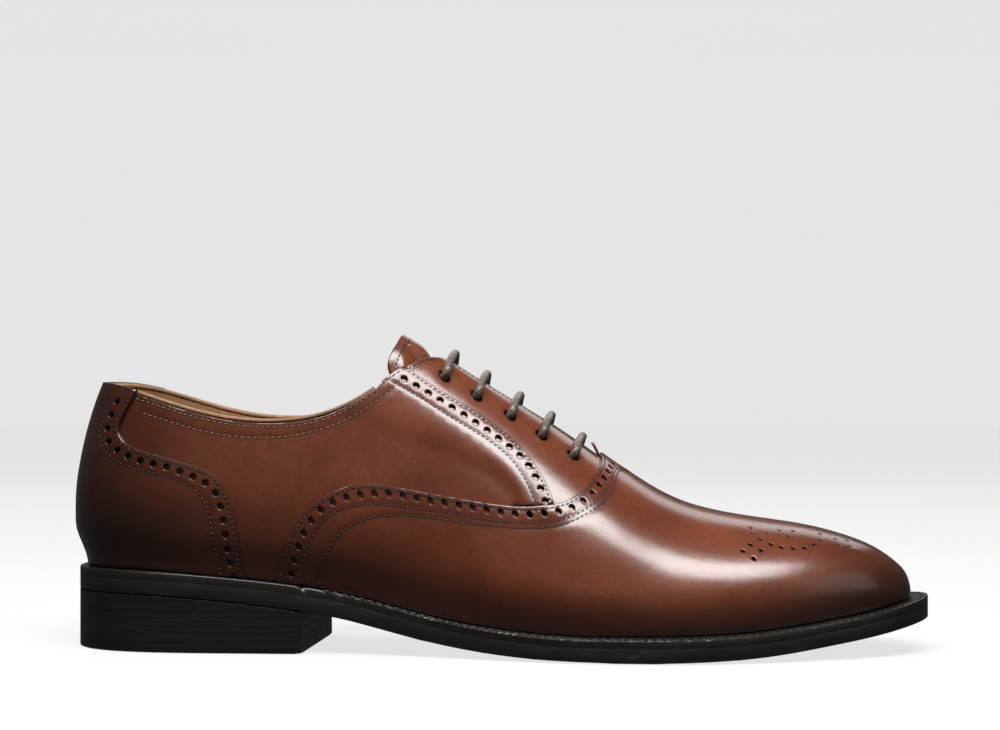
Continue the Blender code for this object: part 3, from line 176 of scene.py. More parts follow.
# Punched rosette on the toe: plan points of its lateral half with their hole radii; the medial
# half mirrors it.
ROSETTE = ((239.5, -27, 0.75), (242.2, -24, 0.75), (245.8, -25.4, 0.75), (243.2, -28.6, 0.75),
           (249.4, -22.2, 0.75), (253, -22.6, 0.75), (257.1, -22, 0.75), (261.3, -20.6, 0.7),
           (264.6, -18, 0.65), (266.9, -15, 0.6), (243.2, -18.4, 0.6), (248.4, -17, 0.6),
           (245.8, -20.8, 0.6), (252.8, -13.4, 0.6), (242.7, -14.6, 0.6), (257.6, -12, 0.6),
           (255.7, -16.6, 0.6), (265.2, -5, 0.55), (267.3, -9.6, 0.55), (270.6, -7, 0.55),
           (274.5, -4, 0.5), (272.6, -10.4, 0.5), (277, -8.4, 0.5), (278.8, -2.4, 0.5),
           (273.7, -14.6, 0.5), (277.7, -12.6, 0.5))


# -- curves
def station(x, start=HEEL_X, end=TOE_X):
    """Angle of a length x between two rounded ends, in which those ends are smooth."""
    along = (np.asarray(x, float) - start) / (end - start)
    return np.arccos(np.clip(1.0 - 2.0 * along, -1.0, 1.0))


def length_at(t, start=HEEL_X, end=TOE_X):
    """Length x of a station angle."""
    return start + 0.5 * (end - start) * (1.0 - np.cos(t))


def natural_bend(knots, values):
    """Second derivatives of the natural cubic spline through the knots."""
    gaps = np.diff(knots)
    count = len(knots)
    system = np.eye(count)
    right = np.zeros((count,) + values.shape[1:])
    for i in range(1, count - 1):
        system[i, i - 1:i + 2] = gaps[i - 1], 2.0 * (gaps[i - 1] + gaps[i]), gaps[i]
        right[i] = 6.0 * ((values[i + 1] - values[i]) / gaps[i]
                          - (values[i] - values[i - 1]) / gaps[i - 1])
    return np.linalg.solve(system, right)


def cubic(knots, values, bend, t):
    """Value of the natural cubic spline at t."""
    i = np.clip(np.searchsorted(knots, t) - 1, 0, len(knots) - 2)
    gap = knots[i + 1] - knots[i]
    a = knots[i + 1] - t
    b = t - knots[i]
    if values.ndim > 1:
        gap, a, b = gap[:, None], a[:, None], b[:, None]
    return ((bend[i] * a ** 3 + bend[i + 1] * b ** 3) / (6.0 * gap)
            + (values[i] / gap - bend[i] * gap / 6.0) * a
            + (values[i + 1] / gap - bend[i + 1] * gap / 6.0) * b)


def profile(table, start=HEEL_X, end=TOE_X):
    """Function of the station angle through (length, value) pairs, its ends rounded."""
    knots = station([row[0] for row in table], start, end)
    values = np.array([row[1] for row in table], float)
    bend = natural_bend(knots, values)

    def value(t):
        return cubic(knots, values, bend, np.asarray(t, float))
    return value


def plain_profile(table):
    """Function of the station angle through (length, value) pairs, straight at its ends."""
    knots, values = np.array(table, float).T
    bend = natural_bend(knots, values)

    def value(t):
        return cubic(knots, values, bend, length_at(np.asarray(t, float)))
    return value


def smooth(points, step):
    """Points about a step apart on the natural cubic curve through some points."""
    points = np.asarray(points, float)
    lengths = np.linalg.norm(np.diff(points, axis=0), axis=1)
    knots = np.concatenate([[0.0], np.cumsum(lengths)])
    count = max(2, int(round(knots[-1] / step)) + 1)
    return cubic(knots, points, natural_bend(knots, points), np.linspace(0.0, knots[-1], count))


def spaced(curve, pitch, start=0.0, end=0.0, axes=None):
    """Points evenly spaced along a polyline by its first axes, and the direction there."""
    steps = np.diff(curve[:, :axes], axis=0)
    lengths = np.concatenate([[0.0], np.cumsum(np.linalg.norm(steps, axis=1))])
    span = lengths[-1] - start - end
    count = max(1, int(round(span / pitch)))
    at = start + np.linspace(0.0, span, count + 1)
    points = np.stack([np.interp(at, lengths, curve[:, i]) for i in range(curve.shape[1])], -1)
    ahead = np.stack([np.interp(at + 0.3, lengths, curve[:, i])
                      - np.interp(at - 0.3, lengths, curve[:, i]) for i in range(curve.shape[1])], -1)
    return points, ahead / (np.linalg.norm(ahead, axis=1)[:, None] + 1e-12)


def unit(vectors):
    """Vectors scaled to length one."""
    return vectors / np.linalg.norm(vectors, axis=-1, keepdims=True)


def turns(count):
    """Angles of points evenly spaced round a circle."""
    return np.arange(count) * 2 * math.pi / count


def spokes(first, second, count):
    """Vectors round a circle, from two that are square to each other."""
    turn = turns(count)[:, None]
    return first * np.cos(turn) + second * np.sin(turn)


def ease(value, start, end):
    """0 at start, 1 at end, smooth between."""
    along = np.clip((value - start) / (end - start), 0.0, 1.0)
    return along * along * (3.0 - 2.0 * along)


def distance_to(points, curve, block=1500):
    """Distance of each point from a polyline."""
    start, step = curve[:-1], np.diff(curve, axis=0)
    real = np.linalg.norm(step, axis=1) > 1e-6
    start, step = start[real], step[real]
    square = (step * step).sum(-1)
    found = []
    for first in range(0, len(points), block):
        apart = points[first:first + block, None, :] - start[None]
        along = np.clip((apart * step).sum(-1) / square, 0.0, 1.0)
        found.append(np.linalg.norm(apart - along[..., None] * step, axis=-1).min(axis=1))
    return np.concatenate(found) if found else np.zeros(0)


def beside(curve, offset):
    """The polyline moved sideways, to the left of its direction for a positive offset."""
    direction = np.gradient(curve, axis=0)
    direction /= np.linalg.norm(direction, axis=1)[:, None] + 1e-12
    return curve + offset * np.stack([-direction[:, 1], direction[:, 0]], -1)


# -- the last
half_width = {LATERAL: profile(UPPER_LATERAL), MEDIAL: profile(UPPER_MEDIAL)}
feather_z = plain_profile(FEATHER)
ridge_z = profile(RIDGE)
centre_y = plain_profile(CENTRE)
side_power = plain_profile(SIDE_POWER)
top_power = plain_profile(TOP_POWER)
tuck_in = plain_profile(TUCK)


def last_point(t, side, angle):
    """Point on the last: station angle t, side, and angle up its column, 90 degrees at the ridge."""
    x = length_at(t)
    middle = np.maximum(x, FAN_X)
    across = side * np.where(side < 0, half_width[LATERAL](t), half_width[MEDIAL](t))
    rise = (ridge_z(t) - feather_z(t)) * np.sin(angle) ** (2.0 / top_power(t))
    reach = np.hypot(x - middle, across) + 1e-9
    fade = 1.0 - ease(rise, 0.0, TUCK_HEIGHT)
    tuck = tuck_in(t) * fade / (reach + 8.0)
    out = np.maximum(np.cos(angle), 0.0) ** (2.0 / side_power(t)) * (1.0 - tuck)
    return np.stack([middle + (x - middle) * out, centre_y(t) + across * out,
                     feather_z(t) + rise], -1)


def last_normal(t, side, angle):
    """Outward unit normal of the last, by differences."""
    step = 0.004
    t = np.clip(t, 2 * step, math.pi - 2 * step)
    low, high = np.maximum(angle - step, 0.0), np.minimum(angle + step, math.pi / 2)
    over = angle + step > math.pi / 2
    along = last_point(t + step, side, angle) - last_point(t - step, side, angle)
    up = last_point(t, side, high) - last_point(t, side, low)
    mirrored = last_point(t, -side, math.pi / 2 - step) - last_point(t, side, low)
    up = np.where(over[..., None], mirrored, up)
    return unit(np.cross(up, along) * np.asarray(side)[..., None])


COLUMN_ANGLES = np.linspace(0.0, math.pi / 2, 61)
STATIONS = np.linspace(0.0, math.pi, 181)


def measured(side):
    """Lengths on one side of the last: up each column, along the feather, along the ridge."""
    grid = last_point(STATIONS[:, None], side, COLUMN_ANGLES[None, :])
    up = np.linalg.norm(np.diff(grid, axis=1), axis=-1)
    feather = np.linalg.norm(np.diff(grid[:, 0], axis=0), axis=-1)
    ridge = np.linalg.norm(np.diff(grid[:, -1], axis=0), axis=-1)
    return {"girth": np.pad(np.cumsum(up, axis=1), ((0, 0), (1, 0))),
            "feather": np.pad(np.cumsum(feather), (1, 0)),
            "ridge": np.pad(np.cumsum(ridge), (1, 0))}


LENGTHS = {LATERAL: measured(LATERAL), MEDIAL: measured(MEDIAL)}


def column(t, side):
    """Girth table of the column at each station, one row a point."""
    place = np.clip(t / math.pi * (len(STATIONS) - 1), 0, len(STATIONS) - 1.000001)
    index = place.astype(int)
    part = (place - index)[:, None]
    rows = [LENGTHS[s]["girth"][index] * (1 - part) + LENGTHS[s]["girth"][index + 1] * part
            for s in (LATERAL, MEDIAL)]
    return np.where(side[:, None] < 0, rows[0], rows[1])


def angle_of(t, side, girth):
    """Angle up the column at a girth from the feather."""
    rows = column(t, side)
    index = np.clip((rows < girth[:, None]).sum(axis=1) - 1, 0, rows.shape[1] - 2)
    every = np.arange(len(rows))
    low, high = rows[every, index], rows[every, index + 1]
    part = np.clip((girth - low) / (high - low + 1e-12), 0.0, 1.0)
    return COLUMN_ANGLES[index] + part * (COLUMN_ANGLES[1] - COLUMN_ANGLES[0])


def girth_of(t, side, angle):
    """Girth from the feather at an angle up the column."""
    rows = column(t, side)
    return np.array([np.interp(a, COLUMN_ANGLES, row) for a, row in zip(angle, rows)])


def on_side(points, side):
    """Station and angle of side-view points (length, height)."""
    points = np.asarray(points, float)
    side = np.full(len(points), side)
    x = points[:, 0].copy()
    for _ in range(40):
        t = station(x)
        share = np.clip((points[:, 1] - feather_z(t)) / (ridge_z(t) - feather_z(t)), 0.0, 1.0)
        angle = np.arcsin(share ** (0.5 * top_power(t)))
        x = np.clip(x + points[:, 0] - last_point(t, side, angle)[:, 0], HEEL_X, TOE_X)
    return t, side, angle


# Two flat charts of the last. "heel": distance along the feather from the heel and girth up from
# the feather. "ridge": distance along the ridge and girth down from it. Both are positive for a
# piece on one side. Where a piece crosses the middle, its medial half is negative in the first
# and its lateral half in the second.
def ridge_chart(points, side):
    """Side-view points in the ridge chart."""
    return to_ridge(*on_side(points, side))


def to_heel(t, side, angle):
    """Heel-chart points of points on one side of the last."""
    along = np.interp(t, STATIONS, LENGTHS[side[0]]["feather"])
    return np.stack([along, girth_of(t, side, angle)], -1)


def to_ridge(t, side, angle):
    """Ridge-chart points of points on one side of the last."""
    down = column(t, side)[:, -1] - girth_of(t, side, angle)
    return np.stack([np.interp(t, STATIONS, LENGTHS[side[0]]["ridge"]), down], -1)


def from_heel(chart):
    """Station, side and angle of heel-chart points."""
    side = np.where(chart[:, 0] < 0, MEDIAL, LATERAL)
    t = np.where(side < 0, np.interp(np.abs(chart[:, 0]), LENGTHS[LATERAL]["feather"], STATIONS),
                 np.interp(np.abs(chart[:, 0]), LENGTHS[MEDIAL]["feather"], STATIONS))
    return t, side, angle_of(t, side, chart[:, 1])


def from_ridge(chart):
    """Station, side and angle of ridge-chart points."""
    side = np.where(chart[:, 1] < 0, LATERAL, MEDIAL)
    t = np.interp(chart[:, 0], LENGTHS[LATERAL]["ridge"], STATIONS)
    girth = column(t, side)[:, -1] - np.abs(chart[:, 1])
    return t, side, angle_of(t, side, girth)


def placed(spot, depth):
    """Points at a depth (positive outward) from the last."""
    t, side, angle = spot
    return last_point(t, side, angle) + last_normal(t, side, angle) * np.reshape(depth, (-1, 1))


def ridge_at(x):
    """Distance along the ridge at a length."""
    return float(np.interp(station(x), STATIONS, LENGTHS[LATERAL]["ridge"]))


def feather_line(start, end, side, step, lift=FEATHER_GAP):
    """Ridge-chart points just above the feather between two lengths."""
    t = np.linspace(station(start), station(end), max(2, int(abs(end - start) / step) + 1))
    sides = np.full(len(t), side)
    down = column(t, sides)[:, -1] - lift
    return np.stack([np.interp(t, STATIONS, LENGTHS[side]["ridge"]), down], -1)


def to_world(points):
    """Design millimetres to metres in the frame."""
    return (np.asarray(points, float) - ORIGIN) * MM


def linked(name, data):
    """New object in the scene."""
    made = bpy.data.objects.new(name, data)
    bpy.context.scene.collection.objects.link(made)
    return made


# -- camera
CAMERA_AZIMUTH = 4.0                     # degrees that the view is turned towards the toe
CAMERA_DISTANCE = 839.0
CAMERA_HEIGHT = 101.3
CAMERA_AIM = (153.0, 0.0)                # plan point that the camera turns about
LENS = 83.52


def make_camera():
    """Level camera at the photograph's angle."""
    turn = math.radians(CAMERA_AZIMUTH)
    forward = np.array((-math.sin(turn), math.cos(turn)))
    place = np.array(CAMERA_AIM) - forward * CAMERA_DISTANCE
    data = bpy.data.cameras.new("camera")
    data.lens = LENS
    data.sensor_width = 36.0
    data.clip_start = 0.01
    camera = linked("camera", data)
    camera.location = to_world((*place, CAMERA_HEIGHT))
    camera.rotation_euler = (math.pi / 2, 0.0, turn)
    bpy.context.scene.camera = camera


# -- materials
class Look:
    """A Principled material under construction, with short names for the nodes it uses."""

    def __init__(self, name, metallic=0.0, coat=0.0, coat_roughness=0.2):
        self.made = bpy.data.materials.new(name)
        self.made.use_nodes = True
        self.tree = self.made.node_tree
        self.shader = self.tree.nodes["Principled BSDF"]
        self.put(self.shader, "Roughness", 0.5)
        self.put(self.shader, "Metallic", metallic)
        self.put(self.shader, "Coat Weight", coat)
        self.put(self.shader, "Coat Roughness", coat_roughness)
        self.put(self.shader, "IOR", 1.5)
        self.place = self.tree.nodes.new("ShaderNodeTexCoord").outputs["Object"]

    def put(self, node, key, value):
        """Set or link an input."""
        if isinstance(value, bpy.types.NodeSocket):
            self.tree.links.new(value, node.inputs[key])
        elif isinstance(value, tuple) and len(value) == 3 and node.inputs[key].type == "RGBA":
            node.inputs[key].default_value = (*value, 1.0)
        else:
            node.inputs[key].default_value = value

    def node(self, kind, output, **inputs):
        """New node with its inputs set by name, an underscore for a space; gives one output."""
        made = self.tree.nodes.new(kind)
        for key, value in inputs.items():
            self.put(made, key.replace("_", " "), value)
        return made.outputs[output]

    def stretched(self, scale):
        """Object coordinates scaled by axis."""
        return self.node("ShaderNodeMapping", "Vector", Vector=self.place, Scale=scale)

    def noise(self, scale, detail=2.0, rough=0.5, where=None, distortion=0.0):
        """Fractal noise from 0 to 1, scale in features a metre."""
        return self.node("ShaderNodeTexNoise", "Fac", Vector=where or self.place, Scale=scale,
                         Detail=detail, Roughness=rough, Distortion=distortion)

    def cells(self, scale, output="Distance"):
        """Distance within Voronoi cells, or their colour."""
        return self.node("ShaderNodeTexVoronoi", output, Vector=self.place, Scale=scale)

    def attribute(self, name):
        """Value stored on the mesh's points."""
        made = self.tree.nodes.new("ShaderNodeAttribute")
        made.attribute_name = name
        return made.outputs["Fac"]

    def ranged(self, value, low, high, to_low=0.0, to_high=1.0):
        """A value moved from one range to another, clamped."""
        made = self.tree.nodes.new("ShaderNodeMapRange")
        for key, each in (("Value", value), ("From Min", low), ("From Max", high),
                          ("To Min", to_low), ("To Max", to_high)):
            self.put(made, key, each)
        return made.outputs["Result"]

    def sum(self, kind, first, second):
        """Arithmetic on two values."""
        made = self.tree.nodes.new("ShaderNodeMath")
        made.operation = kind
        self.put(made, 0, first)
        self.put(made, 1, second)
        return made.outputs[0]

    def mixed(self, share, first, second):
        """Two colours mixed."""
        made = self.tree.nodes.new("ShaderNodeMix")
        made.data_type = "RGBA"
        self.put(made, 0, share)
        for key, value in ((6, first), (7, second)):
            if isinstance(value, tuple):
                value = (*value, 1.0)
            self.put(made, key, value)
        return made.outputs[2]

    def blend(self, value, low, high, first, second, most=1.0):
        """Two colours mixed more, up to a share, as a value goes from low to high."""
        return self.mixed(self.ranged(value, low, high, 0.0, most), first, second)

    def bump(self, height, depth, strength=1.0, after=None):
        """Bump of a height map, its depth in millimetres."""
        made = self.tree.nodes.new("ShaderNodeBump")
        self.put(made, "Height", height)
        self.put(made, "Distance", depth * MM)
        self.put(made, "Strength", strength)
        if after is not None:
            self.put(made, "Normal", after)
        return made.outputs["Normal"]

    def done(self, colour=None, roughness=None, normal=None):
        """The material with its last inputs linked."""
        for key, value in (("Base Color", colour), ("Roughness", roughness), ("Normal", normal)):
            if value is not None:
                self.put(self.shader, key, value)
        if normal is not None:
            self.put(self.shader, "Coat Normal", normal)
        return self.made


CHESTNUT = (0.125, 0.027, 0.010)
AMBER = (0.200, 0.053, 0.020)
# The darkest tone: burnished leather and mottle, and also the painted shade that the seam value gives.
BURNISH_AND_SHADE = (0.014, 0.005, 0.004)


def upper_leather():
    """Polished calf: chestnut, burnished nearly black where the mesh says, with painted shade along its
    stitch channels, round its punched holes, at its edges and on its underside; fine grain and wax.
    """
    look = Look("upper_calf", coat=1.0, coat_roughness=0.19)
    look.put(look.shader, "Specular IOR Level", 0.3)
    patina = look.noise(22.0, 3.0, 0.55, distortion=0.4)
    strokes = look.noise(1.0, 3.0, 0.5, look.stretched((14.0, 30.0, 55.0)), 0.2)
    mottle = look.noise(420.0, 3.0, 0.6)
    burnish = look.attribute("burnish")
    seam = look.attribute("seam")
    clear = look.blend(patina, 0.35, 0.68, CHESTNUT, AMBER)
    clear = look.blend(mottle, 0.35, 0.7, clear, BURNISH_AND_SHADE, 0.22)
    swirl = look.sum("MULTIPLY", look.sum("SUBTRACT", strokes, 0.5), 0.36)
    drift = look.sum("MULTIPLY", look.sum("SUBTRACT", patina, 0.5), 0.30)
    level = look.sum("ADD", burnish, look.sum("ADD", swirl, drift))
    colour = look.blend(level, 0.12, 1.02, clear, BURNISH_AND_SHADE, 0.97)
    # Painted shade: the seam value darkens the colour along stitch channels, round punched holes, at panel
    # edges and on the underside.
    colour = look.blend(seam, 0.0, 1.0, colour, BURNISH_AND_SHADE, 0.72)
    roughness = look.ranged(strokes, 0.0, 1.0, 0.20, 0.38)
    pores = look.cells(1500.0)
    grain = look.noise(2600.0, 3.0, 0.6)
    height = look.sum("ADD", look.sum("MULTIPLY", pores, 0.5), look.sum("MULTIPLY", grain, 0.5))
    normal = look.bump(height, 0.035, 0.55)
    normal = look.bump(look.noise(240.0, 2.0, 0.5), 0.10, 0.35, normal)
    normal = look.bump(look.noise(70.0, 2.0, 0.5), 0.35, 0.35, normal)
    return look.done(colour, roughness, normal)


def lining_leather(name, colour, worn, roughness=0.55):
    """Soft unpolished leather with pores and a darkened, handled tone."""
    look = Look(name)
    tone = look.blend(look.noise(30.0, 4.0, 0.6), 0.35, 0.7, colour, worn)
    tone = look.mixed(look.ranged(look.cells(700.0), 0.0, 0.45, 0.35, 0.0), tone, worn)
    height = look.sum("ADD", look.noise(900.0, 4.0, 0.65), look.cells(1100.0))
    normal = look.bump(height, 0.08, 0.5)
    return look.done(tone, look.ranged(look.noise(300.0), 0.3, 0.7, roughness - 0.1, roughness + 0.1),
                     normal)


def sole_leather():
    """Inked and waxed edge: near black, with fine brush lines along it and small scuffs."""
    look = Look("sole_edge", coat=0.25, coat_roughness=0.25)
    lines = look.noise(1.0, 3.0, 0.6, look.stretched((18.0, 18.0, 1100.0)))
    scuffs = look.noise(1.0, 5.0, 0.7, look.stretched((90.0, 90.0, 420.0)), 0.6)
    tone = look.blend(lines, 0.35, 0.7, (0.007, 0.006, 0.005), (0.014, 0.012, 0.010))
    tone = look.blend(scuffs, 0.62, 0.8, tone, (0.06, 0.05, 0.042), 0.6)
    normal = look.bump(lines, 0.05, 0.5)
    normal = look.bump(scuffs, 0.08, 0.3, normal)
    return look.done(tone, look.ranged(scuffs, 0.3, 0.75, 0.30, 0.5), normal)


def sole_face():
    """The sole's walking face: matt, faintly ribbed rubber with scuffs."""
    look = Look("sole_face")
    scuffs = look.noise(1.0, 5.0, 0.7, look.stretched((160.0, 60.0, 60.0)), 0.6)
    tone = look.blend(scuffs, 0.45, 0.75, (0.013, 0.012, 0.012), (0.05, 0.045, 0.04))
    normal = look.bump(look.noise(1800.0, 2.0), 0.06, 0.5)
    return look.done(tone, look.ranged(scuffs, 0.3, 0.7, 0.45, 0.7), normal)


def thread(name, colour):
    """Twisted waxed thread."""
    look = Look(name)
    twist = look.noise(1.0, 2.0, 0.5, look.stretched((5200.0, 5200.0, 5200.0)))
    tone = look.blend(twist, 0.3, 0.7, colour, tuple(0.45 * c for c in colour))
    return look.done(tone, 0.45, look.bump(twist, 0.06, 0.8))


def lace_cord():
    """Waxed round lace; its braid is in the mesh, and the hollows between its strands are painted darker
    as shade.
    """
    look = Look("lace_cord", coat=0.3, coat_roughness=0.3)
    braid_shade = look.attribute("braid_shade")
    fibre = look.noise(3600.0, 2.0, 0.6)
    fade = look.noise(60.0, 2.0, 0.5)
    tone = look.blend(fade, 0.3, 0.7, (0.128, 0.101, 0.086), (0.185, 0.151, 0.130))
    tone = look.mixed(braid_shade, tone, (0.030, 0.024, 0.021))
    return look.done(tone, look.ranged(fibre, 0.3, 0.7, 0.26, 0.42), look.bump(fibre, 0.03, 0.4))


def metal(name, colour, dull):
    """Plain metal with fine scratches and tarnish."""
    look = Look(name, metallic=1.0)
    marks = look.noise(1.0, 4.0, 0.6, look.stretched((900.0, 900.0, 200.0)))
    tone = look.blend(marks, 0.4, 0.75, colour, dull)
    return look.done(tone, look.ranged(marks, 0.3, 0.7, 0.25, 0.5), look.bump(marks, 0.02, 0.5))


def board(name, colour, flecks, scale):
    """Pressed board or cork: crumbs of two tones."""
    look = Look(name)
    crumbs = look.cells(scale, "Color")
    tone = look.blend(crumbs, 0.0, 1.0, colour, flecks)
    height = look.sum("ADD", look.cells(scale), look.noise(scale * 2.0, 3.0))
    return look.done(tone, 0.85, look.bump(height, 0.25, 0.7))


def plastic_tip():
    """Shrunk dark tip of a lace."""
    look = Look("aglet_film", coat=0.5, coat_roughness=0.1)
    marks = look.noise(500.0, 3.0)
    tone = look.blend(marks, 0.3, 0.7, (0.012, 0.011, 0.010), (0.03, 0.027, 0.025))
    return look.done(tone, look.ranged(marks, 0.3, 0.7, 0.22, 0.38), look.bump(marks, 0.03, 0.5))


LOOKS = {
    "upper": upper_leather(),
    "lining": lining_leather("lining_calf", (0.53, 0.30, 0.155), (0.34, 0.17, 0.08)),
    "suede": lining_leather("grip_suede", (0.47, 0.28, 0.16), (0.33, 0.18, 0.095), 0.8),
    # The linings' outer faces are near black: painted shade in the gap between lining and upper, seen
    # through holes and gaps.
    "lining_back_shade": lining_leather("painted_shade_lining_back", (0.030, 0.014, 0.009), (0.014, 0.007, 0.005), 0.85),
    "sock": lining_leather("sock_calf", (0.50, 0.27, 0.135), (0.30, 0.145, 0.065)),
    "binding": lining_leather("binding_edge", (0.36, 0.19, 0.095), (0.17, 0.08, 0.04), 0.42),
    "sole": sole_leather(),
    "face": sole_face(),
    "upper_thread": thread("upper_thread", (0.040, 0.018, 0.012)),
    "tan_thread": thread("tan_thread", (0.26, 0.135, 0.075)),
    "welt_thread": thread("welt_thread", (0.022, 0.019, 0.017)),
    "lace": lace_cord(),
    "aglet": plastic_tip(),
    # Brass darkened nearly black as painted shade, so that the eyelets' lace holes read dark; the heel
    # nails take it too.
    "brass": metal("shade_darkened_brass", (0.075, 0.052, 0.034), (0.030, 0.021, 0.015)),
    "steel": metal("spring_steel", (0.55, 0.55, 0.57), (0.30, 0.29, 0.28)),
    "board": board("fibre_board", (0.42, 0.29, 0.17), (0.30, 0.19, 0.10), 900.0),
    "cork": board("ground_cork", (0.30, 0.17, 0.08), (0.16, 0.08, 0.035), 420.0),
}


# -- meshes
RIM = 0.42               # radius of a panel's rounded edge, and of a punched hole's
HOLE_RIM = 0.22
HALF_DROP = 0.29         # share of a rim's radius in which half of its turn lies
HOLE_SPREAD = 0.55       # the last ring of mesh points round a hole stands this far outside its rim
SEAM_SIDE = 0.75         # rows of mesh points run this far on both sides of a seam
SEAM_STEP = 1.3
HOLE_REACH = 6.0         # no hole's outline is further than this from its centre
HOLE_POINTS = 14
FINE = 1.9               # mesh spacing of the upper
PLAIN = 3.2              # and of the linings
EDGE_STEP = 1.2          # spacing along edges that show, and along hidden ones
HIDDEN_STEP = 5.5
CREASE = 48.0            # faces meeting at more than this many degrees keep a sharp edge


def make_object(name, points, faces, look, values=None, sharp=CREASE):
    """Named object from design points, faces pointing out, with values stored on its points."""
    mesh = bpy.data.meshes.new(name)
    mesh.from_pydata(to_world(points).tolist(), [], [list(map(int, f)) for f in faces])
    for key, each in (values or {}).items():
        mesh.attributes.new(key, "FLOAT", "POINT").data.foreach_set("value", each.astype(float))
    work = bmesh.new()
    work.from_mesh(mesh)
    bmesh.ops.recalc_face_normals(work, faces=work.faces)
    if work.calc_volume(signed=True) < 0:
        bmesh.ops.reverse_faces(work, faces=work.faces)
    work.to_mesh(mesh)
    work.free()
    mesh.shade_smooth()
    mesh.set_sharp_from_angle(angle=math.radians(sharp))
    mesh.materials.append(LOOKS[look])
    return linked(name, mesh)


def show(piece, slot, *nodes, body="shoe"):
    """The piece rides on a body and stands for some CAD nodes, which it hides; slot is not used."""
    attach(piece, body)
    if nodes:
        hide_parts(*nodes)
    return piece


def inside(points, loop):
    """Which points lie inside a closed loop."""
    x, y = points[:, :1], points[:, 1:]
    a, b = loop, np.roll(loop, -1, axis=0)
    spans = (a[:, 1] > y) != (b[:, 1] > y)
    with np.errstate(divide="ignore", invalid="ignore"):
        cross = (b[:, 0] - a[:, 0]) * (y - a[:, 1]) / (b[:, 1] - a[:, 1]) + a[:, 0]
    return (spans & (x < cross)).sum(axis=1) % 2 == 1


def sheet(loops, grid):
    """Triangles that fill the first loop around the others, with their points."""
    points = [Vector(p) for loop in loops for p in loop] + [Vector(p) for p in grid]
    edges = []
    start = 0
    for loop in loops:
        count = len(loop)
        edges += [(start + i, start + (i + 1) % count) for i in range(count)]
        start += count
    made, _, faces, _, _, _ = delaunay_2d_cdt(points, edges, [], 0, 1e-5)
    flat = np.array([tuple(p) for p in made])
    faces = np.array([tuple(f) for f in faces])
    middle = flat[faces].mean(axis=1)
    keep = inside(middle, loops[0])
    for hole in loops[1:]:
        near = np.abs(middle - hole.mean(axis=0)).max(axis=1) < HOLE_REACH
        keep[near] &= ~inside(middle[near], hole)
    faces = faces[keep]
    used, back = np.unique(faces, return_inverse=True)
    return flat[used], back.reshape(faces.shape)


def divided(loop, longest):
    """A closed loop with its long edges cut up."""
    points = []
    for here, there in zip(loop, np.roll(loop, -1, axis=0)):
        count = max(1, math.ceil(np.linalg.norm(there - here) / longest))
        points += [here + (there - here) * i / count for i in range(count)]
    return np.array(points)


def ring(centre, radius, wider=0.0):
    """Closed loop in a chart round a centre, from one radius or two, and a little wider."""
    turn = turns(HOLE_POINTS)
    return np.asarray(centre) + (radius + wider) * np.stack([np.cos(turn), np.sin(turn)], -1)


def closed(loop):
    """The loop as a polyline that comes back to its start."""
    return np.vstack([loop, loop[:1]])


def hole_distance(points, holes):
    """Distance of points from the nearest hole's rim."""
    apart = np.full(len(points), 1e3)
    for centre, radius in holes:
        size = np.mean(radius)
        away = np.linalg.norm((points - centre) / (radius / size), axis=1) - size
        apart = np.minimum(apart, away)
    return apart


def rounding(apart, radius):
    """Drop of a rounded edge at a distance from it."""
    share = np.clip(1.0 - apart / radius, 0.0, 1.0) if radius > 0 else np.zeros(len(apart))
    return radius * (1.0 - np.sqrt(1.0 - share * share))


def fine_grid(outline, holes, rows, step, rim):
    """Mesh points inside an outline: a triangular lattice, with rows along rims and seams."""
    edge = closed(outline)
    turn = np.roll(outline, -1, axis=0)
    area = 0.5 * (outline[:, 0] * turn[:, 1] - outline[:, 1] * turn[:, 0]).sum()
    around = np.vstack([outline[-1:], outline, outline[:1]])
    rims = [beside(around, math.copysign(inset, area))[1:-1] for inset in (HALF_DROP * rim, rim)]
    kept = []
    for inset, row in zip((HALF_DROP * rim, rim), rims):
        row = row[inside(row, outline)]
        kept.append(row[distance_to(row, edge) > 0.9 * inset])
    grid = np.vstack(kept)
    seams = [beside(row, offset) for row in rows for offset in (-SEAM_SIDE, 0.0, SEAM_SIDE)]
    if seams:
        seams = np.vstack([spaced(row, SEAM_STEP)[0] for row in seams])
        seams = seams[inside(seams, outline)]
        seams = seams[distance_to(seams, edge) > rim + 0.2]
        seams = seams[hole_distance(seams, holes) > HOLE_RIM + 0.25]
        grid = np.vstack([grid, seams])
    for centre, radius in holes:
        grid = np.vstack([grid, *(ring(centre, radius, wider) for wider in
                                  (HALF_DROP * HOLE_RIM, HOLE_RIM, HOLE_RIM + HOLE_SPREAD))])
    low, high = outline.min(axis=0), outline.max(axis=0)
    across = np.arange(math.floor(low[1] / step), math.ceil(high[1] / step) + 1)
    along = np.arange(math.floor(low[0] / step) - 1, math.ceil(high[0] / step) + 1)
    lattice = np.stack(np.meshgrid(along, across), -1).reshape(-1, 2).astype(float)
    lattice[:, 0] += 0.5 * (lattice[:, 1] % 2)
    lattice *= (step, step)
    lattice = lattice[inside(lattice, outline)]
    lattice = lattice[distance_to(lattice, edge) > rim + 0.5 * step]
    lattice = lattice[hole_distance(lattice, holes) > HOLE_RIM + HOLE_SPREAD + 0.4 * step]
    for row in rows:
        lattice = lattice[distance_to(lattice, row) > SEAM_SIDE + 0.5 * step]
    return np.vstack([grid, lattice])


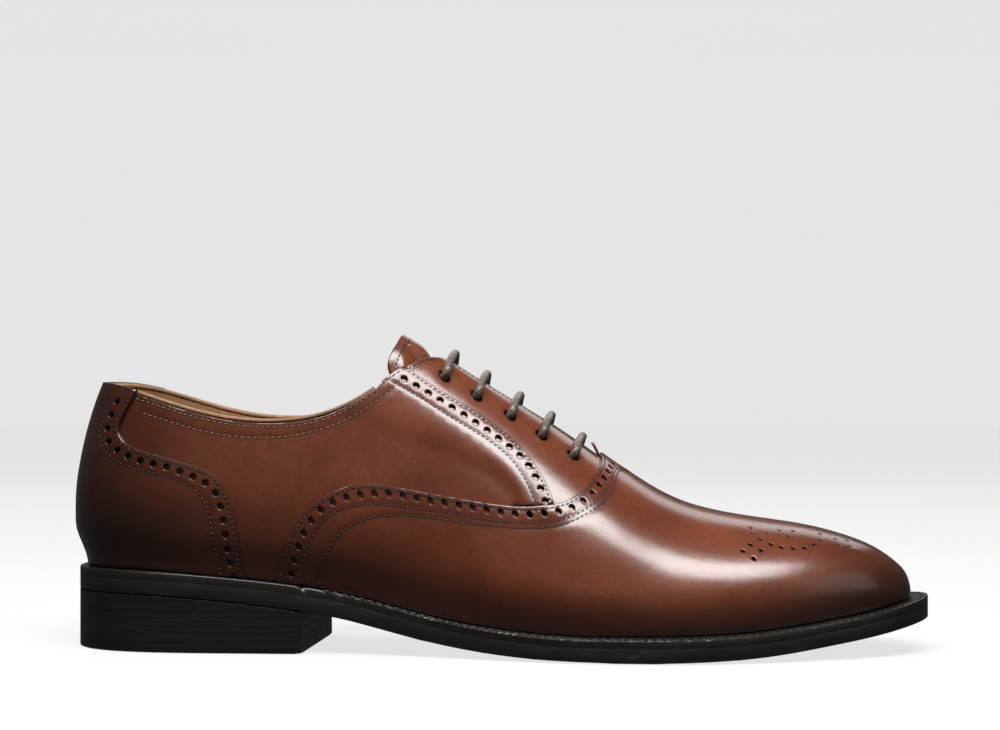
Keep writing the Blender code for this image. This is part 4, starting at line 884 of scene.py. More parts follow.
def solid(name, outline, high, low, look, step, holes=(), rows=(), rim=RIM, low_rim=0.0, values=None,
          outer=None, sharp=CREASE):
    """Closed fine mesh over a flat outline. high and low give points from flat ones and a drop."""
    outline = divided(outline, 1.3 * step)
    loops = [outline] + [ring(centre, radius) for centre, radius in holes]
    flat, faces = sheet(loops, fine_grid(outline, holes, rows, step, rim))
    apart = distance_to(flat, closed(outline))
    drop = np.maximum(rounding(apart, rim), rounding(hole_distance(flat, holes), HOLE_RIM))
    top, bottom = high(flat, drop), low(flat, rounding(apart, low_rim))
    count = len(flat)
    sides = {(f[i], f[(i + 1) % 3]) for f in faces.tolist() for i in range(3)}
    walls = [(b, a, count + a, count + b) for a, b in sides if (b, a) not in sides]
    both = faces.tolist() + (faces[:, ::-1] + count).tolist() + walls
    stored = values(flat, top, bottom) if values else None
    made = make_object(name, np.vstack([bottom, top]), both, look, stored, sharp)
    if outer:
        made.data.materials.append(LOOKS[outer])
        for face in made.data.polygons[len(faces):2 * len(faces)]:
            face.material_index = 1
    return made


STITCH = 1.85            # pitch of the upper's stitches, and of the topline's
TAN_STITCH = 2.15
CHANNEL = 0.16           # depth of the channel that a row of stitches pulls in
CHANNEL_WIDTH = 0.55


def channels(q, rows):
    """Depth of the stitched channels at chart points, negative."""
    sunk = np.zeros(len(q))
    for row in rows:
        sunk = np.minimum(sunk, -CHANNEL * np.exp(-(distance_to(q, row) / CHANNEL_WIDTH) ** 2))
    return sunk


def burnish(points):
    """How burnished the leather is: darkest at the heel, along the sole and at the toe's tip."""
    x, z = points[:, 0], points[:, 2]
    up = z - feather_z(station(np.clip(x, HEEL_X, TOE_X)))
    heel = 1.0 - ease(x, -2.0, 74.0)
    reach = 46.0 - 26.0 * ease(x, 60.0, 190.0)
    low = 1.0 - ease(up, 2.0, reach)
    toe = ease(x, 240.0, 302.0)
    return 1.0 - (1.0 - 0.90 * heel) * (1.0 - 0.86 * low ** 0.8) * (1.0 - 0.62 * toe)


def leather(name, outline, chart, depth, look, step, slot, node, holes=(), rows=(), rim=RIM,
            thickness=None, body="shoe", outer=None):
    """Upper or lining panel on the last that stands for its plain CAD node."""
    thickness = thickness or (lambda q: np.full(len(q), LEATHER))
    holes = round_in_space(holes, chart)

    def high(q, drop):
        return placed(chart(q), depth(q) + channels(q, rows) - drop)

    def low(q, drop):
        return placed(chart(q), depth(q) - thickness(q) + drop)

    def values(q, top, bottom):
        # The seam value is painted shade: darker along the stitch rows, round the holes and at the panel's
        # edge, and over the whole underside.
        seam = np.zeros(len(q))
        for row in rows:
            seam = np.maximum(seam, 0.75 * np.exp(-(distance_to(q, row) / 0.8) ** 2))
        seam = np.maximum(seam, 0.65 * np.exp(-np.clip(hole_distance(q, holes), 0, 9) / 0.45))
        seam = np.maximum(seam, 0.8 * np.exp(-distance_to(q, closed(outline)) / 0.7))
        under = np.maximum(seam, 0.9)
        return {"burnish": np.concatenate([burnish(bottom), burnish(top)]),
                "seam": np.concatenate([under, seam])}
    piece = solid(name, outline, high, low, look, step, holes, rows, rim, 0.0, values, outer)
    return show(piece, slot, node, body=body)


# -- stitches
STITCH_RINGS = ((0.0, 0.25), (0.12, 0.72), (0.32, 0.97), (0.5, 1.0), (0.68, 0.97), (0.88, 0.72),
                (1.0, 0.25))


def tube(count, size, around=False):
    """Faces between neighbouring rings, and from the last to the first if they go around."""
    return [(r * size + i, r * size + (i + 1) % size, (r + 1) % count * size + (i + 1) % size,
             (r + 1) % count * size + i)
            for r in range(count if around else count - 1) for i in range(size)]


def closed_tube(count, size):
    """Faces of a tube of rings with its ends filled."""
    ends = [tuple(range(size))[::-1], tuple(range(count * size - size, count * size))]
    return tube(count, size) + ends


def stitch_mesh(places, along, out, length, width, height, slant=0.18, sides=8):
    """Points and faces of short stitches at places, given directions along the row and outward."""
    out = unit(out - (out * along).sum(axis=1)[:, None] * along)
    side = np.cross(out, along)
    along = unit(along + slant * side)
    side = np.cross(out, along)
    turn = turns(sides)
    share = np.array(STITCH_RINGS)
    reach = (share[:, 0] - 0.5) * length
    arch = 0.5 * height * np.sin(math.pi * np.clip(share[:, 0], 0.04, 0.96)) - 0.25 * height
    wide = np.outer(share[:, 1], np.cos(turn)) * 0.5 * width
    tall = np.outer(share[:, 1], np.sin(turn)) * 0.5 * height + arch[:, None]
    points = (places[:, None, None] + along[:, None, None] * reach[None, :, None, None]
              + side[:, None, None] * wide[None, :, :, None] + out[:, None, None] * tall[None, :, :, None])
    size = len(share) * sides
    faces = [tuple(base + v for v in face) for base in range(0, len(places) * size, size)
             for face in closed_tube(len(share), sides)]
    return points.reshape(-1, 3), faces


def stitched(rows, chart, depth, pitch):
    """Places, directions and outward normals of the stitches along rows of a chart."""
    found = []
    for row in rows:
        middle = in_step(row, chart, pitch, 0.5 * pitch, 0.5 * pitch)
        ahead = in_step(row, chart, pitch, 0.5 * pitch + 0.2, 0.5 * pitch - 0.2)
        level = depth(middle) - CHANNEL - 0.04
        here, there = placed(chart(middle), level), placed(chart(ahead), level)
        found.append((here, unit(there - here), last_normal(*chart(middle))))
    return [np.vstack(part) for part in zip(*found)]


def make_stitches(name, rows, chart, depth, look="upper_thread", pitch=STITCH, body="shoe"):
    """One piece with every stitch of some rows."""
    points, faces = stitch_mesh(*stitched(rows, chart, depth, pitch), 0.84 * pitch, 0.52, 0.42)
    show(make_object(name, points, faces, look), "lace_cotton", body=body)


# -- seams, as in the frame
BINDING = 1.2
STRIP_SWELL = 0.8        # the vamp swells over the ends of the strips beneath it
STRIP_SWELL_WIDTH = 6.5
SHOULDER = 0.35          # height and width of the toe's chiselled shoulders
SHOULDER_WIDTH = 2.4
BELOW_TOPLINE = BINDING + 0.3    # the raw edges inside the binding lie this far under the topline
BINDING_END = 124.0
HEEL_GRIP = 57.0
STIFFENER = 40.0
STIFFENER_HEIGHT = 30.0
TAB_FLOOR = 36.0
PUFF_X = 262.0
FACING_EDGE = 4.4
THROAT_X = 188.6
LINING_THROAT_X = 191.5
EDGE_ROW = 1.15          # a seam's outer stitches run this far inside the panel's edge


def joined(*pieces):
    """One outline from several runs of points."""
    return np.vstack([np.reshape(piece, (-1, 2)) for piece in pieces])


def crossing(first, second):
    """Where two polylines first cross: segment of each, and the point."""
    c, d = second[:-1], np.diff(second, axis=0)
    for i in range(len(first) - 1):
        a, b = first[i], first[i + 1] - first[i]
        across = b[0] * d[:, 1] - b[1] * d[:, 0]
        with np.errstate(divide="ignore", invalid="ignore"):
            along = ((c[:, 0] - a[0]) * d[:, 1] - (c[:, 1] - a[1]) * d[:, 0]) / across
            other = ((c[:, 0] - a[0]) * b[1] - (c[:, 1] - a[1]) * b[0]) / across
        hit = (0 <= along) & (along <= 1) & (0 <= other) & (other <= 1)
        if hit.any():
            j = int(np.argmax(hit))
            return i, j, a + along[j] * b
    raise ValueError("the seams do not cross")


def before(curve, other):
    """The curve up to where it crosses another, ending there."""
    i, _, point = crossing(curve, other)
    return joined(curve[:i + 1], point)


def after(curve, other):
    """The curve from where it crosses another, starting there."""
    i, _, point = crossing(curve, other)
    return joined(point, curve[i + 1:])


def lap_raise(apart, slower=0.0):
    """Raise of a panel over its neighbour's under-lap, by distance from its own edge."""
    return STEP * (1.0 - ease(apart, LAP_CLEAR, LAP_CLEAR + LAP_EASE + slower))


def lap_thickness(raised):
    """A raised panel is thicker by most of the gap under it, so that it lies on its neighbour."""
    return LEATHER + 0.8 * GAP * np.clip(raised / STEP, 0.0, 1.0)


def chart_of(points, side):
    """Ridge-chart points of one side in the heel chart."""
    return to_heel(*from_ridge(points * (1, side)))


def one_side(chart, side):
    """A chart's lookup for a piece that lies on one side."""
    signs = (-side, 1) if chart is from_heel else (1, side)
    return lambda q: chart(q * signs)


def across(make):
    """A curve of both sides in the ridge chart, lateral rear to medial rear by the ridge."""
    lateral, medial = make(LATERAL), make(MEDIAL)
    return lateral[::-1] * (1, -1), medial


def over_throat(table, throat, step=EDGE_STEP):
    """Side-view points of both sides as one curve in the ridge chart, met on the ridge."""
    table = table if table[0][0] > table[-1][0] else table[::-1]
    lateral, medial = across(lambda side: ridge_chart(table, side))
    return smooth(joined(lateral, (ridge_at(throat), 0.0), medial), step)


def vamp_edge(step=EDGE_STEP):
    """The vamp's free edge across both sides, in the ridge chart."""
    return over_throat(VAMP_EDGE, THROAT_X, step)


def lining_edge(step=EDGE_STEP):
    """The seam between the vamp lining and the quarter linings, in the ridge chart."""
    return over_throat(LINING_JOIN, LINING_THROAT_X, step)


def heel_curve(table, side, step=EDGE_STEP):
    """Smooth curve through side-view points, in the heel chart."""
    return smooth(to_heel(*on_side(table, side)), step)


def ridge_curve(table, side, step=EDGE_STEP):
    """Smooth curve through side-view points, in the ridge chart."""
    return smooth(ridge_chart(table, side), step)


def topline(side, end):
    """The topline in the heel chart, from the heel up to a distance."""
    top = heel_curve(TOPLINE, side)
    return top[top[:, 0] < end]


def feather_heel(start, end, step=EDGE_STEP):
    """Heel-chart points along the feather between two distances."""
    along = np.linspace(start, end, max(2, int(abs(end - start) / step) + 1))
    return np.stack([along, np.full(len(along), FEATHER_GAP)], -1)


def toe_feather(medial_start, lateral_start, step=EDGE_STEP):
    """Ridge-chart points along the feather, from the medial side round the toe."""
    medial = feather_line(medial_start, TOE_X - 0.05, MEDIAL, step)
    lateral = feather_line(TOE_X - 0.05, lateral_start, LATERAL, step) * (1, -1)
    return joined(medial[1:], lateral[1:-1])


def in_step(curve, chart, pitch, start=0.0, end=0.0):
    """Chart points that are evenly spaced in space along a chart's curve."""
    path = placed(chart(curve), 0.0)
    both = spaced(np.column_stack([path, curve]), pitch, start, end, 3)[0]
    return both[:, 3:]


def punched(curve, chart, pitch=HOLE_PITCH, radius=HOLE, start=0.0, end=0.0):
    """Holes evenly spaced along a curve."""
    return [(spot, radius) for spot in in_step(curve, chart, pitch, start, end)]


def round_in_space(holes, chart):
    """Holes with the two chart radii that make them round on the last."""
    if not holes:
        return []
    centres = np.array([centre for centre, _ in holes])
    here = placed(chart(centres), 0.0)
    scale = [np.linalg.norm(placed(chart(centres + step), 0.0) - here, axis=1) / 0.2
             for step in ((0.2, 0.0), (0.0, 0.2))]
    return [(centre, radius / np.clip(stretch, 0.4, 2.0))
            for (centre, radius), stretch in zip(holes, np.transpose(scale))]


# -- upper
def rosette_holes():
    """The toe's punched rosette in the ridge chart, both halves."""
    holes = []
    for x, y, radius in ROSETTE:
        t = station(x)
        share = abs(y - centre_y(t)) / half_width[LATERAL](t)
        angle = math.acos(min(1.0, share ** (0.5 * side_power(t))))
        for side in (LATERAL, MEDIAL):
            spot = to_ridge(np.array([t]), np.array([side]), np.array([angle]))[0]
            holes.append((spot * (1, side), radius))
    return holes


def make_vamp():
    """Vamp: punched edge, two stitched rows inside it, and the rosette on the toe."""
    edge = vamp_edge()
    outline = joined(edge, toe_feather(76.5, 76.5))
    holes = punched(over_throat(VAMP_HOLES, 194.6), from_ridge, start=1.5, end=1.5) + rosette_holes()
    rows = [beside(edge, -EDGE_ROW)[2:-2], over_throat(VAMP_ROW_A, 198.0), over_throat(VAMP_ROW_B, 199.6)]

    strips = [beside(ridge_curve(STRIP_EDGE, side), 5.0) * (1, side)
              for side in (LATERAL, MEDIAL)]

    def depth(q):
        near = distance_to(q, edge)
        over = sum(np.exp(-(distance_to(q, strip) / STRIP_SWELL_WIDTH) ** 2) for strip in strips)
        over *= STRIP_SWELL * (1.0 - ease(near, 3.0, 15.0))
        chisel = sum(SHOULDER * np.exp(-(distance_to(q, shoulder(side)) / SHOULDER_WIDTH) ** 2)
                     for side in (LATERAL, MEDIAL))
        return lap_raise(near, SLOW_EASE) + over + chisel
    leather("vamp_calf", outline, from_ridge, depth, "upper", FINE, "upper_leather", "vamp", holes, rows,
            thickness=lambda q: lap_thickness(lap_raise(distance_to(q, edge))))
    make_stitches("vamp_stitching", rows, from_ridge, depth)


def shoulder(side):
    """Line of the toe's chiselled shoulder on one side, in the ridge chart."""
    return ridge_curve(TOE_SHOULDER, side, 2.0) * (1, side)


def hidden_strip(side):
    """The facing's hidden edge under the quarter, in the ridge chart."""
    hidden = beside(ridge_curve(STRIP_EDGE, side, HIDDEN_STEP), LAP)
    return joined(hidden, 3 * hidden[-1] - 2 * hidden[-2])


def make_facing(side, name):
    """Facing: the eyelet strip, stitched along its top and its free edge."""
    free = np.array([(u, FACING_EDGE) for u in np.linspace(ridge_at(135.5), ridge_at(200), 60)])
    top = ridge_curve(FACING_TOP, side)
    hidden = hidden_strip(side)
    half = vamp_edge(HIDDEN_STEP) * (1, side)
    half = half[half[:, 1] > 0][::side]
    front = beside(joined((ridge_at(THROAT_X), 0.0), half), -LAP)
    outline = joined(before(free, front), after(before(front, hidden), free)[1:],
                     before(hidden, front)[::-1], top)
    holes = [(spot, FACING_HOLE) for spot in eyelet_spots()]
    inner_top = beside(top, 1.3)
    inner_free = free + (0.0, 1.3)
    rows = [inner_top[1:-1], inner_free[:-8]]
    chart = one_side(from_ridge, side)

    def depth(q):
        pressed = np.clip(1.0 - hole_distance(q, holes) / 2.5, 0.0, 1.0)
        return -0.25 * pressed ** 2
    leather(f"facing_calf_{name}", outline, chart, depth, "upper", 1.7, "upper_leather",
            f"facing_{name}", holes, rows)
    make_stitches(f"facing_stitching_{name}", [row[1:-1] for row in rows], chart, depth)


def make_quarter(side, name):
    """Quarter: punched front edge over the facing, and a second row under the topline."""
    strip = heel_curve(STRIP_EDGE, side)
    vamp = heel_curve(VAMP_EDGE, side, HIDDEN_STEP)
    counter = heel_curve(COUNTER_EDGE, side, HIDDEN_STEP)
    top = heel_curve(TOPLINE, side)
    top[:, 1] -= BELOW_TOPLINE * (1.0 - ease(top[:, 0], BINDING_END + 0.5, BINDING_END + 3.0))
    top[0, 0] = 0.2
    inner = beside(heel_curve(STRIP_EDGE, side, HIDDEN_STEP), -(LAP_CLEAR + LAP_EASE + 0.2))
    inner = joined(inner, 2 * inner[-1] - inner[-2])
    front = beside(vamp, -0.4)
    under = beside(vamp, LAP)
    under = joined(under[:-1], (under[-1][0], FEATHER_GAP))
    rear = beside(counter, -LAP)
    rear = joined(rear[:-1], (rear[-1][0], FEATHER_GAP))
    rear = rear[rear[:, 1] < TAB_FLOOR + 1.0]
    visible = before(strip, front)
    step_in = after(before(front, inner), strip)
    hidden = after(before(inner, under), front)
    lap = after(under, inner)
    feather = feather_heel(lap[-1][0], rear[-1][0])[1:-1]
    outline = joined(top, visible[1:], step_in[1:], hidden[1:], lap[1:], feather, rear[::-1],
                     (0.2, TAB_FLOOR))
    chart = one_side(from_heel, side)
    holes = punched(heel_curve(STRIP_HOLES, side, 1.0), chart)
    edge_row = beside(strip, -EDGE_ROW)[1:]
    edge_row = before(edge_row, front)[:-1]
    rows = [edge_row, heel_curve(STRIP_ROW, side),
            heel_curve(TOPLINE_ROW, side), (top - (0.0, 1.5))[20:-1]]

    def raised(q):
        return lap_raise(distance_to(q, strip), SLOW_EASE * ease(distance_to(q, vamp), 6.0, 30.0))
    leather(f"quarter_calf_{name}", outline, chart, raised, "upper", FINE, "upper_leather",
            f"quarter_{name}", holes, rows, thickness=lambda q: lap_thickness(raised(q)))
    make_stitches(f"quarter_stitching_{name}", rows[:2], chart, raised)
    make_stitches(f"topline_stitching_{name}", rows[2:], chart, raised, "tan_thread", TAN_STITCH)


def make_counter():
    """Heel counter: wraps the heel outside the quarters, with a tab up to the topline."""
    sides = {side: heel_curve(COUNTER_EDGE, side) for side in (LATERAL, MEDIAL)}
    edges = {side: curve * (-side, 1) for side, curve in sides.items()}
    tops = {side: topline(side, sides[side][0][0] - 0.5 * EDGE_STEP) * (-side, 1) for side in sides}
    feather = feather_heel(edges[LATERAL][-1][0], edges[MEDIAL][-1][0])[1:-1]
    outline = joined(edges[LATERAL], feather, edges[MEDIAL][::-1], tops[MEDIAL][::-1],
                     tops[LATERAL][1:])

    def depth(q):
        apart = np.minimum(distance_to(q, edges[LATERAL]), distance_to(q, edges[MEDIAL]))
        tab = ease(q[:, 1], 4.0, TAB_FLOOR - 2.0)
        sides = lap_raise(apart, SLOW_EASE) / STEP
        return (STEP + 0.15 * tab) * (1.0 - (1.0 - tab) * (1.0 - sides))
    holes, rows = [], []
    for side in (LATERAL, MEDIAL):
        flip = (-side, 1)
        holes += punched(heel_curve(COUNTER_HOLES, side, 1.0) * flip, from_heel)
        rows.append(beside(edges[side], side * EDGE_ROW)[2:-2])
        rows.append(heel_curve(COUNTER_ROW, side) * flip)
    leather("counter_calf", outline, from_heel, depth, "upper", 1.8, "upper_leather", "heel_counter",
            holes, rows, thickness=lambda q: lap_thickness(depth(q)))
    make_stitches("counter_stitching", rows, from_heel, depth)


def make_binding():
    """Rolled tan edge over the raw top edges of quarters and linings."""
    tops = [topline(side, BINDING_END) * (-side, 1) for side in (LATERAL, MEDIAL)]
    line = joined(tops[0][::-1], tops[1][1:])
    turn = np.linspace(0.0, 2.0 * math.pi, 17)[:-1]
    middle = line - (0.0, 0.5 * BINDING)
    spans = placed(from_heel(middle), -0.5 * LINED)
    out = placed(from_heel(middle), 1.0) - placed(from_heel(middle), 0.0)
    ahead = np.gradient(spans, axis=0)
    up = unit(np.cross(ahead, out))
    up *= np.sign(up[:, 2:])
    # A rounded box section: half the lining-to-upper thickness across, half the binding's width up.
    cos, sin = np.cos(turn), np.sin(turn)
    wide = 0.5 * LINED * np.sign(cos) * np.abs(cos) ** 0.55
    tall = 0.62 * BINDING * np.sign(sin) * np.abs(sin) ** 0.7
    points = spans[:, None] + out[:, None] * wide[None, :, None] + up[:, None] * tall[None, :, None]
    show(loft("binding_roll", points, "binding"), "edge_leather", "topline_binding")


def loft(name, rings, look, values=None, sharp=CREASE):
    """Closed tube through rings of points, its ends filled."""
    count, size = rings.shape[:2]
    return make_object(name, rings.reshape(-1, 3), closed_tube(count, size), look, values, sharp)


def make_vamp_lining():
    """Lining of the vamp, sunk under the toe puff."""
    edge = lining_edge()
    outline = joined(edge, toe_feather(146, 146))
    leather("vamp_lining_calf", outline, from_ridge,
            lambda q: -STEP - STEP * ease(q[:, 0], ridge_at(PUFF_X) - 7.0, ridge_at(PUFF_X) - 1.5),
            "lining", PLAIN, "lining_leather", "vamp_lining", outer="lining_back_shade")


def make_quarter_lining(side, name):
    """Lining of a quarter and its facing, from the heel grip to the vamp lining."""
    top = heel_curve(TOPLINE, side)
    top = top[(top[:, 0] > HEEL_GRIP + 1.0) & (top[:, 0] < BINDING_END + 2.0)]
    top[:, 1] -= BELOW_TOPLINE
    facing_top = chart_of(ridge_curve(FACING_TOP, side), side) - (0.0, 0.5)
    join = lining_edge() * (1, side)
    join = join[join[:, 1] > -EDGE_STEP]
    join = join if join[0][1] < join[-1][1] else join[::-1]
    join = beside(join, 0.7)
    free = np.array([(u, FACING_EDGE + 0.5) for u in np.linspace(ridge_at(136), ridge_at(200), 50)])
    free, front = before(free, join), after(join, free)
    front = joined(front[:-1], (front[-1][0], column(station([146.0]), np.array([side]))[0, -1] - 1))
    front = chart_of(front, side)
    front[-1, 1] = FEATHER_GAP
    start = HEEL_GRIP + 0.2
    first = (start, np.interp(start, *heel_curve(TOPLINE, side, 2.0).T) - BELOW_TOPLINE)
    outline = joined(first, top, facing_top, chart_of(free, side), front[1:],
                     feather_heel(front[-1][0], start)[1:])
    holes = [(spot, LINING_HOLE) for spot in chart_of(eyelet_spots(), side)]
    row = (top - (0.0, 1.4))[3:-3]
    chart = one_side(from_heel, side)
    leather(f"lining_calf_{name}", outline, chart, lambda q: np.full(len(q), -STEP), "lining", PLAIN,
            "lining_leather", f"quarter_lining_{name}", holes, outer="lining_back_shade")
    make_stitches(f"lining_stitching_{name}", [row], chart, lambda q: np.full(len(q), -LINED + 0.2),
                  "tan_thread", TAN_STITCH)


def make_heel_grip():
    """Suede lining of the heel, sunk over the heel stiffener."""
    tops = []
    for side in (LATERAL, MEDIAL):
        end = (HEEL_GRIP, np.interp(HEEL_GRIP, *heel_curve(TOPLINE, side).T))
        top = joined(topline(side, HEEL_GRIP - 1.0), end) - (0.0, BELOW_TOPLINE)
        tops.append(top * (-side, 1))
    outline = joined(tops[0][::-1], tops[1][1:], feather_heel(-HEEL_GRIP, HEEL_GRIP))

    def depth(q):
        sunk = (1.0 - ease(np.abs(q[:, 0]), STIFFENER + 4.0, STIFFENER + 11.0))
        sunk *= 1.0 - ease(q[:, 1], STIFFENER_HEIGHT + 5.0, STIFFENER_HEIGHT + 13.0)
        return -STEP * (1.0 + sunk)
    leather("heel_grip_suede", outline, from_heel, depth, "suede", PLAIN, "lining_leather", "heel_grip")


# -- eyelets and lace
def eyelet_spots():
    """The eyelet centres in the ridge chart, from the toe end up, the same on both sides."""
    return ridge_chart(EYELETS, LATERAL)


def make_eyelet(side, spot, name):
    """Blind eyelet with a rolled flange, square to the last."""
    place = from_ridge(np.array([spot * (1, side)]))
    centre = placed(place, 0.0)[0]
    normal = last_normal(*place)[0]
    first = unit(np.cross(normal, (1.0, 0.0, 0.0)))
    outline = np.array(((EYELET_HOLE, EYELET_BOTTOM + 0.35), (EYELET_HOLE + 0.3, EYELET_BOTTOM),
                        (EYELET_FLANGE - 0.5, EYELET_BOTTOM), (EYELET_FLANGE, EYELET_BOTTOM + 0.15),
                        (EYELET_FLANGE, EYELET_BOTTOM + 0.35), (EYELET_TUBE + 0.2, EYELET_BOTTOM + 0.35),
                        (EYELET_TUBE, EYELET_BOTTOM + 0.6), (EYELET_TUBE, EYELET_TOP),
                        (EYELET_HOLE, EYELET_TOP)))
    around = spokes(first, np.cross(normal, first), EYELET_POINTS)
    points = centre + around[:, None] * outline[None, :, :1] + normal * outline[None, :, 1:]
    faces = tube(EYELET_POINTS, len(outline), around=True)
    show(make_object(f"{name}_barrel", points.reshape(-1, 3), faces, "brass", sharp=35.0),
         "brass_fittings", name)


def bend(spot, toward, level, height):
    """Quarter turn round an eyelet's rim: from the run along `toward` into the eyelet's axis."""
    toward = unit(np.asarray(toward, float))
    turn = np.linspace(math.pi / 2, 0.0, 7)
    out = LACE_BEND * (1.0 - np.cos(turn))
    flat = spot + toward[None, :] * out[:, None]
    return np.column_stack([flat, level + height * np.sin(turn)])


def passage(row, side, inner):
    """The lace's way up through an eyelet, from an inner run to its bar."""
    spot = eyelet_spots()[row] * (1, side)
    below = bend(spot, inner, EYELET_BOTTOM, -LACE_BEND)
    above = bend(spot, (BAR_SLOPE, -side), 0.0, LACE_BEND)
    return np.vstack([below, above[::-1]])


def bar(row, side):
    """The straight bar from this side's eyelet to the other's, clear of both passages."""
    u, s = eyelet_spots()[row] * (1, side)
    across_gap = np.linspace(s, -s, 11)[1:-1]
    across_gap = across_gap[np.abs(across_gap) < abs(s) - LACE_BEND - 0.6]
    lean = BAR_LEAN * (1.0 - np.hypot(across_gap / s, 0.25)) / 0.75
    return np.column_stack([u + lean, across_gap, np.full(len(across_gap), LACE_BEND)])


def inner_run(first, last, side, shift):
    """The run on the inside between two rows of one side, bowed past the rows between them."""
    spots = eyelet_spots() * (1, side)
    share = np.linspace(0.0, 1.0, 2 + 4 * abs(last - first))[1:-1]
    u, s = (np.interp(first + (last - first) * share, range(len(spots)), column) for column in spots.T)
    return np.column_stack([u, s + shift * np.sin(math.pi * share), np.full(len(share), INNER_RUN)])


def lace_route():
    """The held lace in the ridge chart with depth: five bars and the runs between them."""
    rear, front = np.array((-1.0, 0.0)), np.array((1.0, 0.0))
    out_lateral, out_medial = np.array((0.0, -1.0)), np.array((0.0, 1.0))
    lean = 0.55
    parts = [
        tail_stub(3, LATERAL, out_lateral),
        passage(3, LATERAL, out_lateral), bar(3, LATERAL),
        passage(3, MEDIAL, front + lean * out_medial)[::-1],
        inner_run(3, 1, MEDIAL, BYPASS),
        passage(1, MEDIAL, rear + lean * out_medial), bar(1, MEDIAL),
        passage(1, LATERAL, front)[::-1],
        inner_run(1, 0, LATERAL, 0.0),
        passage(0, LATERAL, rear), bar(0, LATERAL),
        passage(0, MEDIAL, rear - lean * out_medial)[::-1],
        inner_run(0, 2, MEDIAL, -BYPASS),
        passage(2, MEDIAL, front - lean * out_medial), bar(2, MEDIAL),
        passage(2, LATERAL, rear - lean * out_lateral)[::-1],
        inner_run(2, 4, LATERAL, BYPASS),
        passage(4, LATERAL, front - lean * out_lateral), bar(4, LATERAL),
        passage(4, MEDIAL, out_medial)[::-1],
        tail_stub(4, MEDIAL, out_medial)[::-1],
    ]
    return np.vstack(parts)


def tail_stub(row, side, out):
    """The lace's last stretch from an eyelet to where its free tail begins."""
    spot = eyelet_spots()[row] * (1, side)
    return np.array([(*(spot + out * reach), INNER_RUN) for reach in (5.5, 3.6)])


def in_space(route):
    """Design points of ridge-chart points with depth."""
    return placed(from_ridge(route[:, :2]), route[:, 2])


BRAID_SIDES = 20
BRAID_STEP = 0.32        # along the lace
BRAID_TURN = 2.4         # length in which a strand goes a quarter of the way round
BRAID_DEPTH = 0.05


def braided(name, route):
    """Round braided lace along a smooth route: strands wound both ways stand out of its surface."""
    spine = smooth(route, BRAID_STEP)
    ahead = unit(np.gradient(spine, axis=0))
    normal = np.cross(ahead[0], (0.3, 0.5, 0.8))
    frames = []
    for direction in ahead:
        normal = unit(normal - direction * (normal @ direction))
        frames.append((normal, np.cross(direction, normal)))
    first, second = (np.array(part) for part in zip(*frames))
    run = np.arange(len(spine)) * BRAID_STEP
    turn = turns(BRAID_SIDES)
    twist = run[:, None] / BRAID_TURN * (math.pi / 2)
    left = np.cos(4 * turn[None] + 4 * twist)
    right = np.cos(4 * turn[None] - 4 * twist)
    raised = np.maximum(left, right)
    radius = LACE - BRAID_DEPTH * 0.5 * (1.0 - raised)
    rings = (spine[:, None] + first[:, None] * (np.cos(turn)[None] * radius)[..., None]
             + second[:, None] * (np.sin(turn)[None] * radius)[..., None])
    # Painted shade in the braid's hollows, stored for the lace's material.
    braid_shade = np.clip(0.30 - 0.6 * raised, 0.0, 1.0)
    return loft(name, rings, "lace", {"braid_shade": braid_shade.reshape(-1)}, sharp=80.0), spine


def make_lace():
    """The held part of the lace, laced with straight bars."""
    show(braided("lace_braid", in_space(lace_route()))[0], "lace_cotton", "lace")


# Free tails, tucked away inside the shoe: down the lining beside the tongue (length, across,
# height), then forward along the sock liner into the toe box and back (length, across).
WALL_LATERAL = ((150, -29, 46), (158, -31, 31))
FLOOR_LATERAL = ((174, -32.5), (186, -33), (200, -31), (216, -26.5), (232, -21.5), (246, -15.5),
                 (255.5, -8.5), (253, -2.3), (243, -3.6), (230, -7.5))
WALL_MEDIAL = ((141, 21.0, 46), (149, 23.0, 31))
FLOOR_MEDIAL = ((170, 28.5), (184, 32.5), (198, 34.5), (212, 34), (226, 31), (240, 25), (251, 18),
                (256, 11.3), (251, 5.6), (240, 6.2), (228, 9))
AGLET_LENGTH = 20.0
AGLET = 1.6
TAIL_STEP = 6.5


def sock_top(x):
    """Height of the sock liner's upper face."""
    return sole_top(x) + INSOLE_BED + INSOLE + SOCK


def on_floor(points):
    """Plan points of a lace that lies on the sock liner."""
    points = np.asarray(points, float)
    return np.column_stack([points, sock_top(points[:, 0]) + (LACE + 0.5)])


def tail_start(row, side):
    """The tail's run from the held lace's end down the lining's wall."""
    u, s = eyelet_spots()[row]
    wall = [(u + 0.0, s + 6.0, INNER_RUN), (u + 1.0, s + 11.0, INNER_RUN + 0.2),
            (u + 3.0, s + 20.0, INNER_RUN + 0.5), (u + 6.0, s + 30.0, INNER_RUN + 0.5)]
    return in_space(np.array(wall) * (1, side, 1))


def make_tail(row, side, wall, floor, name):
    """Free tail of the lace with the aglet on its end."""
    route = smooth(np.vstack([tail_start(row, side), wall, on_floor(floor)]), TAIL_STEP)
    tail, spine = braided(f"tail_braid_{name}", route)
    show(tail, "lace_cotton", f"lace_tail_{name}")
    heading = unit(route[-1, :2] - route[-2, :2])
    start, end = on_floor([route[-1, :2] + heading * reach for reach in (0.4, 0.4 + AGLET_LENGTH)])
    aglet = make_aglet(start, end, name)
    length = float(np.linalg.norm(np.diff(spine, axis=0), axis=1).sum())
    to_world(spine[0])
    to_world(spine[::4]).tolist()


